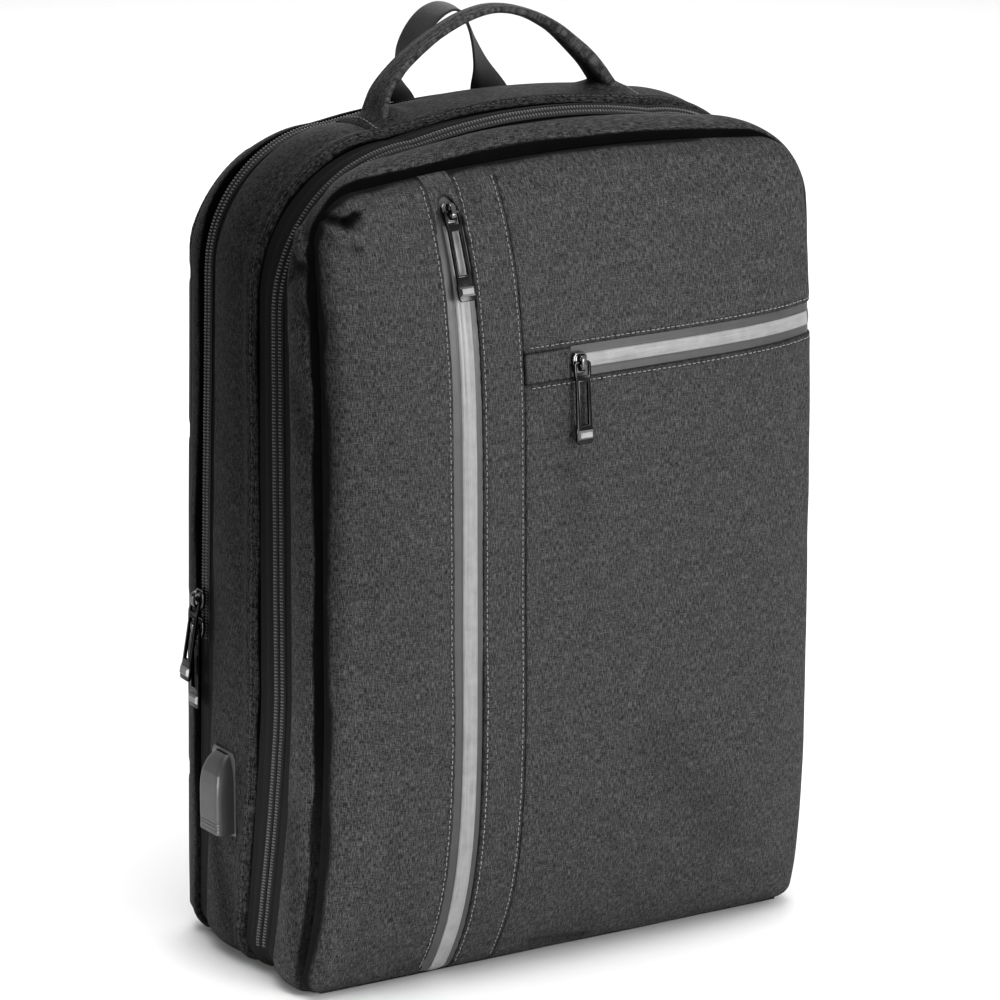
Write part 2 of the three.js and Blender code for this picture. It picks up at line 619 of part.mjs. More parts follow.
// Direction in which a zip line runs down the side of the body
function alongLine(index, z) {
  const run = 10;
  return new THREE.Vector3(0, lineY(index, 0, z - run) - lineY(index, 0, z), -run).normalize();
}
function pulls() {
  const down = new THREE.Vector3(0, 0, -1);
  const seat = SLIDER.onTape - FLAT_TAPE.sunk;
  const places = {
    upright_zip: [UPRIGHT_ZIP.x, faceHigh(UPRIGHT_ZIP.x) - FRONT_PULLS.upright_zip.below],
    level_zip: [SEAM_X + LEVEL_ZIP.tabLength + FRONT_PULLS.level_zip.beyond, LEVEL_ZIP.z],
  };
  for (const [name, spec] of Object.entries(FRONT_PULLS)) {
    const [x, z] = places[name];
    const out = faceNormal(x, z);
    const at = new THREE.Vector3(x, faceY(x, z), z).addScaledVector(out, seat);
    zipPull(name, frameAt(at, down, out), spec);
  }
  const side = new THREE.Vector3(-1, 0, 0);
  const half = line(positionOf(REAR_ZIP_AT)).half;
  const skin = half + chainOut(REAR_TAPE) + SLIDER.onChain;
  for (const [name, spec] of Object.entries(REAR_PULLS)) {
    const z = REAR_ZIP_END + spec.above;
    const at = new THREE.Vector3(-skin, lineY(2, -half, z), z);
    zipPull(name, frameAt(at, alongLine(2, z), side), spec);
  }
  const main = MAIN_PULL;
  const mainHalf = line(positionOf(MAIN_ZIP_AT)).half + chainOut(MAIN_TAPE) + SLIDER.onChain;
  const tailBox = [[-main.width / 2, SLIDER.behind - PULLER.neck, SLIDER.thick / 2], [main.width / 2, main.length, SLIDER.thick * 1.6]];
  const at = new THREE.Vector3(mainHalf, lineY(1, mainHalf, main.z), main.z);
  const whole = geometryOf(sliderSolid().add(solid(box(...tailBox))));
  add("main_zip_slider", whole.applyMatrix4(frameAt(at, down, new THREE.Vector3(1, 0, 0))), "gunmetal");
}

function port() {
  const { depth, z, width, height, out, wall: shellWall, chamfer, flange, socket } = PORT;
  const y = depth - DEPTH / 2;
  const skins = [-0.5, 0, 0.5].map((share) => line(positionOf(depth + share * (width + 2 * flange.rim))).half);
  const face = -(Math.max(...skins) + GAP);
  const foot = z - height / 2;
  // Profile of the hood as it lies against the side: out from the side, and up from its lower edge
  const profile = [
    [0, 0],
    [out, 0],
    [out, height * chamfer.from],
    [out * chamfer.mid[0], height * chamfer.mid[1]],
    [out * chamfer.end, height],
    [0, height],
  ];
  const hood = prism(profile.map(([a, b]) => [-a, b]), -width / 2, width / 2, "z");
  hood.applyMatrix4(new THREE.Matrix4().set(1, 0, 0, face, 0, 0, 1, y, 0, 1, 0, foot, 0, 0, 0, 1));
  const across = width / 2 + flange.rim;
  const plate = box([face - flange.thick, y - across, foot - flange.rim], [face, y + across, z + height / 2 + flange.rim]);
  const inner = [face - out + shellWall, face - flange.thick];
  const hollow = box(
    [inner[0], y - width / 2 + shellWall, foot - 2 * flange.rim],
    [inner[1], y + width / 2 - shellWall, foot + socket.depth],
  );
  const shell = solid(turnedOut(hood)).add(solid(plate)).subtract(solid(hollow));
  add("port_hood", geometryOf(shell), "plastic");
  const middle = (inner[0] + inner[1]) / 2;
  const roof = foot + socket.depth - GAP;
  const socketBox = (inset, low, high) =>
    box(
      [middle - socket.thick / 2 + inset, y - socket.width / 2 + inset, low],
      [middle + socket.thick / 2 - inset, y + socket.width / 2 - inset, high],
    );
  const frame = solid(socketBox(0, roof - socket.length, roof));
  const mouth = solid(socketBox(socket.wall, roof - 2 * socket.length, roof - socket.floor));
  add("port_socket", geometryOf(frame.subtract(mouth)), "steel");
}
// The same geometry with its faces turned out, after a mirroring matrix
function turnedOut(geometry) {
  const merged = mergeVertices(new THREE.BufferGeometry().setAttribute("position", geometry.getAttribute("position")));
  const position = merged.getAttribute("position");
  const points = Array.from({ length: position.count }, (_, i) => new THREE.Vector3().fromBufferAttribute(position, i));
  const index = Array.from(merged.index.array);
  const triangles = Array.from({ length: index.length / 3 }, (_, i) => index.slice(3 * i, 3 * i + 3));
  return closed(points, triangles);
}

function straps() {
  const back = (x, z) => lineY(LINES.length - 1, x, z) + GAP + BACK_PANEL.thick;
  for (const [side, sign] of [["left", -1], ["right", 1]]) {
    const at = ([across, out, up]) => {
      const [x, z] = [(across * WIDTH) / 2, up * HEIGHT];
      return new THREE.Vector3(sign * x, back(x, z) + out, z);
    };
    const run = (points, count, halfWide, halfDeep, taper = () => 1) => {
      const curve = new THREE.CatmullRomCurve3(points.map(at), false, "centripetal");
      return spread(0, 1, count).map((t) => {
        const tangent = curve.getTangentAt(t);
        const wide = new THREE.Vector3(1, 0, 0).addScaledVector(tangent, -tangent.x).normalize();
        return {
          at: curve.getPointAt(t),
          wide,
          deep: tangent.clone().cross(wide),
          halfWide: halfWide * taper(t),
          halfDeep,
        };
      });
    };
    const { strap, webbing, adjuster, anchor } = STRAPS;
    const pad = sweep(run(strap.path, 16, strap.width / 2, strap.thick / 2, strap.taper), 4);
    add("shoulder_strap_" + side, pad, "mesh");
    const tape = sweep(run(webbing.path, 8, webbing.width / 2, webbing.thick / 2), 0.4);
    add("strap_webbing_" + side, tape, "webbing");
    const lock = sweep(run(adjuster.path, 1, adjuster.width / 2, adjuster.thick / 2), 1);
    add("strap_adjuster_" + side, lock, "plastic");
    const foot = sweep(run(anchor.path, 2, anchor.width / 2, anchor.thick / 2), 1);
    add("strap_anchor_" + side, foot, "melangeDark");
  }
}

frontPanels();
frontZips();
bodyBands();
basePanel();
backPanel();
handle();
hangLoop();
pulls();
port();
straps();

export default group;
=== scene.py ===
import math

import bmesh
import bpy
import numpy as np
from mathutils import Matrix, Vector


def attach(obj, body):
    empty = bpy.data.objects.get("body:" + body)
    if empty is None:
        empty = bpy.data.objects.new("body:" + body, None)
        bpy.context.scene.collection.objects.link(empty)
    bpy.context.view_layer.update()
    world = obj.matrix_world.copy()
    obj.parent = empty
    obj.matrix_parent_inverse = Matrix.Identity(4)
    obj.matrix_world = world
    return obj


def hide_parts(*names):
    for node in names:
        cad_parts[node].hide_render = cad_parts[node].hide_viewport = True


# Looks of the laptop backpack: cloth, zips, straps and fittings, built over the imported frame.
# Lengths are in millimetres until a mesh is made. The front faces -Y, +X is the right side, +Z is up.
MM = 0.001

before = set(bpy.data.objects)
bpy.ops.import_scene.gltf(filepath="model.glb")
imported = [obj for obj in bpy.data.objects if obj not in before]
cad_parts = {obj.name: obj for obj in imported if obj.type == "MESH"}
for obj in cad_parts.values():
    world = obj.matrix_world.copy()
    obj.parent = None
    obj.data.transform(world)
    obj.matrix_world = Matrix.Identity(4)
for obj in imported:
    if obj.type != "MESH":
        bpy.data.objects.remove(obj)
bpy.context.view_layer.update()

# Driving dimensions, as in the part
WIDTH, HEIGHT, DEPTH = 311, 450, 142
CLOTH = 2
GAP = 0.3
BULGE = {"rise": 19, "power": 5}
RIM_BACK = {"top": 14, "base": 20, "power": 4}
FLARE = 5
LINES = {
    "depth": (0, 45, 117, 142),
    "half": (0.97, 0.985, 0.985, 0.955),
    "top": (0.969, 0.993, 0.993, 0.975),
    "top_radius": (30, 80, 70, 66),
    "low_radius": (11, 20, 18, 18),
    "crown": (6, 8, 6, 5),
    "lean": (0, 2, 20, 15),
    "tuck": (0, 26, 0, -3),
}
SWELL = (3, 4, 1.5)
TUCK_ZONE, TUCK_POWER = 0.36, 1.4
# Ramp: how far the tape rises from front to rear under the chain. Tilt, in degrees: of the chain on it.
MAIN_ZIP = {"at": 45, "front": 13, "rear": 16, "sunk": 2, "end": 16, "ramp": 3.6, "tilt": 25}
REAR_ZIP = {"at": 117, "front": 10, "rear": 8, "sunk": 3, "end": 168, "ramp": 0, "tilt": 0}
CHAIN = {"width": 8, "thick": 2.4, "clear": 0.7}
# Lap: how far the cloth to the right of the upright zip reaches over its tape
UPRIGHT_ZIP = {"x": -75.5, "width": 18, "lap": 1.6, "stripe": 8.6, "tab": 12, "room": 14}
SEAM_X = -42.5
LEVEL_ZIP = {"z": 337, "width": 16.5, "stripe": 7.2, "tab": 29, "room": 6}
TAPE_SUNK = 0.7
BACK_THICK = 8
HANDLE = {"span": 138, "rise": 46, "width": 12, "thick": 4.6, "above": 3.5}
PATCH = {"length": 168, "width": 40, "thick": 1.6, "gap": 0.9}
HANG_LOOP = {"depth": 133.5, "span": 60, "rise": 48, "width": 23, "thick": 1.6, "above": 1.2}
# From the left foot to the right one: share of half the span, share of the rise, then how much the
# handle's folded band opens in width and thickness, or how far the loop's webbing turns, in degrees
HANDLE_COURSE = (
    (-1.05, -0.07, 1.95, 1.3),
    (-0.99, 0.2, 1.5, 1.3),
    (-0.87, 0.41, 1.2, 1.2),
    (-0.71, 0.6, 1.1, 1.12),
    (-0.5, 0.79, 1.04, 1.05),
    (-0.25, 0.945, 1, 1),
    (0, 1, 1, 1),
    (0.25, 0.92, 1.05, 1.15),
    (0.5, 0.73, 1.12, 1.4),
    (0.7, 0.48, 1.25, 1.7),
    (0.86, 0.24, 1.5, 1.85),
    (1.01, -0.07, 1.95, 1.7),
)
LOOP_COURSE = (
    (-1, 0, 0),
    (-0.98, 0.2, 50),
    (-0.84, 0.48, 80),
    (-0.58, 0.76, 90),
    (-0.25, 0.95, 90),
    (0.04, 1, 84),
    (0.3, 0.93, 74),
    (0.48, 0.77, 64),
    (0.62, 0.53, 56),
    (0.77, 0.26, 38),
    (0.93, 0, 0),
)
SLIDER = {"width": 8.6, "ahead": 5.2, "behind": 6, "thick": 2.2, "on_tape": 0.5, "on_chain": 0.7}
BRIDGE = {"width": 3, "length": 8.6, "window": 3.2, "bar": 1.2}
HINGE_UP = SLIDER["thick"] + BRIDGE["window"] / 2
PORT = {"depth": 99, "z": 96, "width": 22, "height": 43, "out": 11, "wall": 2}

FRONT_HALF = LINES["half"][0] * WIDTH / 2
FRONT_TOP = LINES["top"][0] * HEIGHT


def lerp(a, b, t):
    return a + (b - a) * t


def ease(t):
    t = np.clip(t, 0, 1)
    return t * t * (3 - 2 * t)


def unit(vectors):
    """Vectors brought to a length of one."""
    return vectors / np.linalg.norm(vectors, axis=-1, keepdims=True)



# Surfaces of the body, the same as in the part


def face_y(x, z):
    """Depth of the front face at a point of it."""
    across = np.minimum(1, np.abs(x) / FRONT_HALF) ** BULGE["power"]
    up = (z - FRONT_TOP / 2) / (FRONT_TOP / 2)
    along = np.minimum(1, np.abs(up)) ** BULGE["power"]
    rim = np.where(up > 0, RIM_BACK["top"], RIM_BACK["base"]) * np.abs(up) ** RIM_BACK["power"]
    return -DEPTH / 2 + rim - BULGE["rise"] * (1 - across) * (1 - along)


def low_share(z):
    return np.maximum(0, 1 - z / (TUCK_ZONE * HEIGHT))


def flared(x, z, share):
    rim = np.minimum(1, np.abs(x) / FRONT_HALF) ** 2
    return x * (1 + share * FLARE / FRONT_HALF * low_share(z) ** 2 * rim)


def line_y(index, x, z):
    if index == 0:
        return face_y(x, z) + CLOTH / 2
    lean = LINES["lean"][index] * (1 - z / HEIGHT)
    return LINES["depth"][index] - DEPTH / 2 + lean + LINES["tuck"][index] * low_share(z) ** TUCK_POWER


def position_of(depth):
    """Line position, 0 at the front seam to 3 at the back seam, of a depth behind the front seam."""
    return np.interp(depth, LINES["depth"], range(4))


def values_at(position):
    """Half width, top, corner radii and crown of the body's outline at a line position."""
    low = np.minimum(np.floor(position), 2).astype(int)
    swell = np.array(SWELL)[low] * np.sin(np.pi * (position - low))
    mix = {key: np.interp(position, range(4), LINES[key]) for key in LINES}
    return {
        "half": mix["half"] * WIDTH / 2 + swell,
        "top": mix["top"] * HEIGHT + swell,
        "radius": mix["top_radius"],
        "low": mix["low_radius"],
        "crown": mix["crown"],
    }


def skin_y(position, x, z):
    position, x, z = np.broadcast_arrays(position, x, z)
    planes = np.stack([line_y(i, x, z) for i in range(4)])
    low = np.minimum(np.floor(position), 2).astype(int)
    near = np.take_along_axis(planes, low[None], 0)[0]
    far = np.take_along_axis(planes, low[None] + 1, 0)[0]
    return lerp(near, far, position - low)


LOW_ARC, SIDE, TOP_ARC, OVER = range(4)


def stations(low=8, side=120, arc=38, over=72):
    """Part, share and side of each station of an outline, from the left end of the base to the right."""
    half = [(LOW_ARC, a) for a in np.linspace(0, 1, low, endpoint=False)]
    half += [(SIDE, a) for a in np.linspace(0, 1, side, endpoint=False)]
    half += [(TOP_ARC, a) for a in np.linspace(0, 1, arc)]
    rows = [(part, a, -1) for part, a in half]
    rows += [(OVER, a, 1) for a in np.linspace(-1, 1, over)[1:-1]]
    rows += [(part, a, 1) for part, a in reversed(half)]
    return np.array(rows, float).T


ROUND = stations()


def skin(position, inset, along=ROUND):
    """Points of the body's skin, moved in by an inset: rows by line position, columns by station."""
    part, share, side = along
    position = np.asarray(position, float)
    v = values_at(position)
    turn = share * np.pi / 2
    w = v["half"] - inset
    radius = v["radius"] - inset
    low = np.maximum(2, v["low"] - inset)
    flat = v["half"] - v["radius"]
    shoulder = v["top"] - v["radius"]
    parts = [part == LOW_ARC, part == SIDE, part == TOP_ARC, part == OVER]
    x = np.select(parts, [w - low + low * np.sin(turn), w, flat + radius * np.cos(turn), flat * share])
    z = np.select(
        parts,
        [
            inset + low - low * np.cos(turn),
            lerp(inset + low, shoulder, share),
            shoulder + radius * np.sin(turn),
            v["top"] - inset + v["crown"] * (1 - share**2),
        ],
    )
    x = x * side
    y = skin_y(position, x, z)
    return np.stack([flared(x, z, np.maximum(0, 1 - position)), y, z], -1)


def lengths_along(points):
    steps = np.linalg.norm(np.diff(points, axis=0), axis=1)
    return np.concatenate([[0], np.cumsum(steps)])


ROUND_LENGTH = lengths_along(skin(1, 0))


def edges_of(index, inset, x):
    """Upper and lower edge of a line's outline, moved in by an inset, at a distance from the middle."""
    half = LINES["half"][index] * WIDTH / 2
    radius = LINES["top_radius"][index]
    flat = half - radius
    r, low = radius - inset, LINES["low_radius"][index] - inset
    past = np.maximum(0, np.abs(x) - flat)
    past_low = np.maximum(0, np.abs(x) - (half - inset - low))
    crown = np.where(past > 0, 0, LINES["crown"][index] * (1 - (x / flat) ** 2))
    high = LINES["top"][index] * HEIGHT - radius + np.sqrt(np.maximum(0, r * r - past**2)) + crown
    return inset + low - np.sqrt(np.maximum(0, low * low - past_low**2)), high


def rim_distance(x, z):
    """How far a point of the front face lies inside the outline of the front seam."""
    radius, low = LINES["top_radius"][0], LINES["low_radius"][0]
    flat = FRONT_HALF - radius
    out = np.abs(x)
    base, high = edges_of(0, 0, x)
    inside = np.minimum(FRONT_HALF - out, np.minimum(z, high - z))
    corner = radius - np.hypot(out - flat, z - (FRONT_TOP - radius))
    inside = np.where((out > flat) & (z > FRONT_TOP - radius), corner, inside)
    low_corner = low - np.hypot(out - (FRONT_HALF - low), z - low)
    return np.where((out > FRONT_HALF - low) & (z < low), low_corner, inside)


def top_at(x, depth):
    v = values_at(position_of(depth))
    flat = v["half"] - v["radius"]
    past = np.maximum(0, np.abs(x) - flat)
    arc = v["top"] - v["radius"] + np.sqrt(np.maximum(0, v["radius"] ** 2 - past**2))
    return np.where(past > 0, arc, v["top"] + v["crown"] * (1 - (x / flat) ** 2))


# Relief of soft cloth


def ripple(u, v, cell, seed):
    """Smooth uneven relief between -1 and 1, with bumps of about one cell."""
    count = 64
    lattice = np.random.default_rng(seed).uniform(-1, 1, (count, count))
    a, b = u / cell, v / cell
    i, j = np.floor(a).astype(int), np.floor(b).astype(int)
    s, t = ease(a - i), ease(b - j)

    def at(di, dj):
        return lattice[(i + di) % count, (j + dj) % count]

    return lerp(lerp(at(0, 0), at(1, 0), s), lerp(at(0, 1), at(1, 1), s), t)


def rolled(distance, reach):
    """1 at an edge, 0 beyond the reach, and round between, as a turned-in edge of cloth."""
    t = np.clip(1 - distance / reach, 0, 1)
    return 1 - np.sqrt(np.maximum(0, 1 - t * t))


def hollow(distance, width):
    return np.exp(-((distance / width) ** 2))


def from_segment(u, v, start, end):
    """Distance of points from a line between two points."""
    (a, b), (c, d) = start, end
    du, dv = c - a, d - b
    t = np.clip(((u - a) * du + (v - b) * dv) / (du * du + dv * dv), 0, 1)
    return np.hypot(u - a - t * du, v - b - t * dv)


def creases(u, v, table):
    """Relief of a table of folds: start, end, height and width of each."""
    return sum(height * hollow(from_segment(u, v, start, end), width) for start, end, height, width in table)


# Meshes


def grid_faces(rows, columns, start=0, closed=False):
    """Quads of a grid of points; closed joins the last column to the first."""
    i, j = np.meshgrid(np.arange(rows - 1), np.arange(columns if closed else columns - 1), indexing="ij")
    k = (j + 1) % columns
    corners = [i * columns + j, (i + 1) * columns + j, (i + 1) * columns + k, i * columns + k]
    return np.stack(corners, -1).reshape(-1, 4) + start


def shell(outer, inner):
    """Points and faces of a sheet with thickness, from two grids of points of one size."""
    rows, columns = outer.shape[:2]
    points = np.concatenate([outer.reshape(-1, 3), inner.reshape(-1, 3)])
    top = grid_faces(rows, columns)
    index = np.arange(rows * columns).reshape(rows, columns)
    rim = np.concatenate([index[0], index[1:, -1], index[-1, -2::-1], index[-2:0:-1, 0]])
    following = np.roll(rim, -1)
    side = np.stack([rim, following, following + rows * columns, rim + rows * columns], -1)
    return points, np.concatenate([top, top[:, ::-1] + rows * columns, side])


def tube(sections):
    """Points and faces of a solid through closed sections of points, with closed ends."""
    rows, count = sections.shape[:2]
    faces = [list(f) for f in grid_faces(rows, count, closed=True)]
    faces.append(list(range(count)))
    faces.append(list(range(rows * count - 1, (rows - 1) * count - 1, -1)))
    return sections.reshape(-1, 3), faces


def joined(parts):
    """Several (points, faces) made into one."""
    points, faces, start = [], [], 0
    for p, f in parts:
        points.append(np.asarray(p, float))
        faces += [[i + start for i in face] for face in f]
        start += len(p)
    return np.concatenate(points), faces


SHARP = math.radians(38)


def piece(name, shape, look, node=None, body="bag", weave=None, sharp=SHARP, groove=None):
    """Object from (points, faces) in millimetres, riding on a body and standing for a node of the part.

    Look names a row of LOOKS, whose material is taken. Weave gives each point's place in the
    cloth. Groove is a function of that place: how deep it lies in a seam or fold, from 0 to 1, where the
    cloth's colour is darkened as painted shade.
    """
    points, faces = np.asarray(shape[0], float), shape[1]
    if isinstance(faces, np.ndarray):
        faces = faces.tolist()
    mesh = bpy.data.meshes.new(name)
    mesh.from_pydata((points * MM).tolist(), [], faces)
    made = bmesh.new()
    made.from_mesh(mesh)
    bmesh.ops.recalc_face_normals(made, faces=made.faces)
    made.to_mesh(mesh)
    made.free()
    layout = points if weave is None else np.asarray(weave, float)
    layer = mesh.attributes.new("weave", "FLOAT_VECTOR", "POINT")
    layer.data.foreach_set("vector", (layout * MM).astype(np.float32).ravel())
    # Painted shade: the groove attribute darkens the cloth's colour in seams and folds
    if groove:
        deep = np.clip(groove(layout[:, 0], layout[:, 1]), 0, 1)
        layer = mesh.attributes.new("groove", "FLOAT", "POINT")
        layer.data.foreach_set("value", deep.astype(np.float32))
    mesh.shade_smooth()
    mesh.set_sharp_from_angle(angle=sharp)
    usual_slot, material = LOOKS[look]
    mesh.materials.append(material)
    obj = bpy.data.objects.new(name, mesh)
    bpy.context.scene.collection.objects.link(obj)
    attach(obj, body)
    if node:
        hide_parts(node)
    return obj


def doubled(u, v):
    """Cloth coordinates for both sides of a sheet."""
    flat = np.stack(np.broadcast_arrays(u, v, 0.0 * (u + v)), -1).reshape(-1, 3)
    return np.concatenate([flat, flat])


# Materials

NOISE_SPAN = (0.3, 0.7)  # most of a noise's values lie between these
RIB_SCALE = 628.3  # scale of a wave texture with one rib a millimetre
# Near-black colour of the painted shade in seams and folds
PAINTED_SHADE_TONE = 0.0005


class Nodes:
    """Short way to write a material's nodes, over the cloth's coordinates."""

    def __init__(self, name):
        self.material = bpy.data.materials.new(name)
        self.material.use_nodes = True
        self.tree = self.material.node_tree
        self.shader = self.tree.nodes["Principled BSDF"]

    def add(self, kind, inputs=(), **settings):
        node = self.tree.nodes.new(kind)
        for key, value in settings.items():
            setattr(node, key, value)
        for key, value in dict(inputs).items():
            self.put(node.inputs[key], value)
        return node

    def put(self, socket, value):
        if hasattr(value, "is_output"):
            self.tree.links.new(value, socket)
        else:
            socket.default_value = value

    def weave(self):
        return self.add("ShaderNodeAttribute", attribute_name="weave").outputs["Vector"]

    def noise(self, scale, detail=2.0, rough=0.5, at=None):
        inputs = {"Vector": self.weave() if at is None else at, "Scale": scale}
        inputs.update({"Detail": detail, "Roughness": rough})
        return self.add("ShaderNodeTexNoise", inputs).outputs["Fac"]

    def stretched(self, scales, detail=1.0):
        """Noise with a scale of its own across the cloth, along it and through it."""
        node = self.add("ShaderNodeVectorMath", {0: self.weave(), 1: scales}, operation="MULTIPLY")
        return self.noise(1.0, detail, at=node.outputs[0])

    def math(self, operation, a, b=0.0):
        return self.add("ShaderNodeMath", {0: a, 1: b}, operation=operation).outputs[0]

    def blend(self, *parts):
        """Sum of values, each times its weight."""
        scaled = [self.math("MULTIPLY", value, weight) for value, weight in parts]
        total = scaled[0]
        for value in scaled[1:]:
            total = self.math("ADD", total, value)
        return total

    def ramp(self, factor, low, high, start=0.0, end=1.0):
        inputs = {"Value": factor, "From Min": low, "From Max": high, "To Min": start, "To Max": end}
        return self.add("ShaderNodeMapRange", inputs).outputs[0]

    def even(self, noise, start=0.0, end=1.0):
        """A noise spread over the range from start to end."""
        return self.ramp(noise, *NOISE_SPAN, start, end)

    def mix(self, factor, a, b):
        node = self.add("ShaderNodeMix", {"Factor": factor}, data_type="RGBA")
        self.put(node.inputs["A"], a)
        self.put(node.inputs["B"], b)
        return node.outputs["Result"]

    def finish(self, colour, roughness, specular, bump=None, strength=0.3, distance=0.0003, metallic=0.0):
        """The material, with the bump's height, strength and distance in metres."""
        inputs = {"Base Color": colour, "Roughness": roughness}
        inputs.update({"Specular IOR Level": specular, "Metallic": metallic})
        if bump is not None:
            relief = self.add("ShaderNodeBump", {"Height": bump, "Strength": strength, "Distance": distance})
            inputs["Normal"] = relief.outputs["Normal"]
        for key, value in inputs.items():
            self.put(self.shader.inputs[key], value)
        return self.material


def grey(value, warm=0.0):
    return (value * (1 + warm), value, value * (1 - warm), 1)


def melange(name, base, light, specular, warm=0.0, bump=0.5):
    """Heather cloth: fine crossing threads, some of them pale, under a thin coat, with painted shade in
    seams and folds.
    """
    n = Nodes(name)
    across = n.stretched((380, 2500, 1))
    along = n.stretched((2200, 320, 1))
    slub_across = n.stretched((150, 1900, 1), 0.0)
    slub_along = n.stretched((1500, 120, 1), 0.0)
    cloud = n.noise(90.0, 3.0, 0.6)
    grain = n.noise(2800.0, 1.0, 0.6)
    threads = n.blend((across, 1.0), (along, 1.5), (grain, 0.5))
    slubs = n.math("MAXIMUM", n.ramp(slub_across, 0.6, 0.75), n.ramp(slub_along, 0.58, 0.74))
    tone = n.blend((n.ramp(threads, 1.15, 1.9), 1.0), (n.even(cloud, -0.1, 0.1), 1.0), (slubs, 0.3))
    colour = n.mix(n.ramp(tone, 0.15, 1.1), grey(base, warm), grey(light, warm))
    # Painted shade: the colour goes to a near-black tone where the groove attribute is high, and the
    # roughness rises there
    groove = n.add("ShaderNodeAttribute", attribute_name="groove").outputs["Fac"]
    colour = n.mix(groove, colour, grey(PAINTED_SHADE_TONE))
    roughness = n.blend((n.even(cloud, 0.62, 0.76), 1.0), (groove, 0.3))
    relief = n.blend((threads, 1.0), (cloud, 0.8))
    return n.finish(colour, roughness, specular, relief, bump, 0.00025)


def woven(name, dark, light, pitch, roughness=0.6, specular=0.35):
    """Ribbed or twilled tape: slanting ribs across the weave's length."""
    n = Nodes(name)
    inputs = {"Vector": n.weave(), "Scale": RIB_SCALE / pitch, "Distortion": 0.3, "Detail": 1.0}
    ribs = n.add("ShaderNodeTexWave", inputs, bands_direction="DIAGONAL").outputs["Fac"]
    dust = n.noise(600.0)
    colour = n.mix(n.blend((ribs, 0.6), (dust, 0.5)), grey(dark), grey(light))
    return n.finish(colour, n.even(dust, roughness - 0.06, roughness + 0.06), specular, ribs, 0.5, 0.0002)


def coated(name, dark, light, roughness):
    """Tape with a smooth film over it, slightly clouded and finely lined along its length."""
    n = Nodes(name)
    cloud = n.noise(130.0, 3.0, 0.6)
    lines = n.stretched((2200, 40, 1))
    tone = n.blend((cloud, 0.5), (lines, 0.5))
    colour = n.mix(n.even(tone), grey(dark), grey(light))
    return n.finish(colour, n.even(cloud, roughness - 0.05, roughness + 0.08), 0.45, tone, 0.15, 0.0002)


def air_mesh(name, dark, light):
    """Spacer mesh: rows of small dark holes between soft threads."""
    n = Nodes(name)
    inputs = {"Vector": n.weave(), "Scale": 420.0, "Randomness": 0.12}
    cells = n.add("ShaderNodeTexVoronoi", inputs).outputs["Distance"]
    holes = n.ramp(cells, 0.24, 0.46)
    dust = n.ramp(n.noise(500.0), 0.2, 0.8, 0.75, 1.0)
    colour = n.mix(n.math("MULTIPLY", holes, dust), grey(dark), grey(light))
    return n.finish(colour, 0.85, 0.2, holes, 0.8, 0.0006)


def metal(name, value, roughness):
    """Plated metal with faint brushing and worn edges."""
    n = Nodes(name)
    cloud = n.noise(260.0, 3.0)
    brush = n.stretched((3000, 300, 300))
    tone = n.even(n.blend((cloud, 0.6), (brush, 0.4)))
    edges = n.ramp(n.add("ShaderNodeNewGeometry").outputs["Pointiness"], 0.5, 0.6)
    shade = n.mix(tone, grey(value * 0.8), grey(value * 1.15))
    colour = n.mix(n.math("MULTIPLY", edges, 0.5), shade, grey(min(0.9, value * 2.5)))
    dull = n.even(cloud, roughness * 0.8, roughness * 1.3)
    return n.finish(colour, dull, 0.5, brush, 0.05, 0.0001, metallic=1.0)


def moulded(name, value, roughness):
    """Satin moulded plastic with a fine spark-eroded grain."""
    n = Nodes(name)
    grain = n.noise(2200.0)
    colour = n.mix(n.even(n.noise(60.0)), grey(value * 0.9), grey(value * 1.1))
    return n.finish(colour, n.even(grain, roughness - 0.06, roughness + 0.06), 0.45, grain, 0.12, 0.0001)


def thread(name, value):
    """Twisted sewing thread."""
    n = Nodes(name)
    twist = n.noise(1800.0, 1.0)
    colour = n.mix(n.even(twist), grey(value * 0.7), grey(value * 1.2))
    return n.finish(colour, 0.7, 0.3, twist, 0.2, 0.0001)


# Each look: the slot that its pieces usually have, and its material
LOOKS = {
    "front": ("melange", melange("melange_front", 0.0035, 0.078, specular=0.28)),
    # The side cloth is the front's melange made darker, as painted shade, with less sheen; the middle
    # gusset, rear band, base, patch and strap feet wear it
    "side": ("melangeDark", melange("melange_side_painted_shade", 0.002, 0.055, specular=0.06, warm=0.01, bump=0.22)),
    "gusset": ("melangeDark", melange("melange_gusset", 0.003, 0.078, specular=0.12, warm=0.01, bump=0.3)),
    "tape": ("tape", woven("zip_tape", 0.006, 0.014, pitch=0.7, roughness=0.8, specular=0.12)),
    "coated": ("coated", coated("coated_tape", 0.04, 0.06, roughness=0.42)),
    "reflective": ("reflective", coated("reflective_stripe", 0.17, 0.27, roughness=0.38)),
    "webbing": ("webbing", woven("twill_webbing", 0.005, 0.02, pitch=1.3)),
    "binding": ("webbing", woven("binding", 0.012, 0.028, pitch=1.2)),
    "mesh": ("mesh", air_mesh("air_mesh", 0.006, 0.035)),
    "coil": ("chain", moulded("coil", 0.002, roughness=0.65)),
    "teeth": ("chain", moulded("teeth", 0.11, roughness=0.3)),
    "gunmetal": ("gunmetal", metal("gunmetal", 0.022, roughness=0.2)),
    "slider": ("gunmetal", metal("slider_metal", 0.1, roughness=0.2)),
    # The puller's end facet: the puller's own metal made lighter, as a painted highlight
    "bright": ("gunmetal", metal("facet_painted_highlight", 0.12, roughness=0.34)),
    "plastic": ("plastic", moulded("satin_plastic", 0.042, roughness=0.42)),
    "thread": ("melange", thread("pale_thread", 0.22)),
    "dark_thread": ("melangeDark", thread("dark_thread", 0.06)),
}
SOCKET_METAL = metal("steel", 0.6, roughness=0.25)

# Body

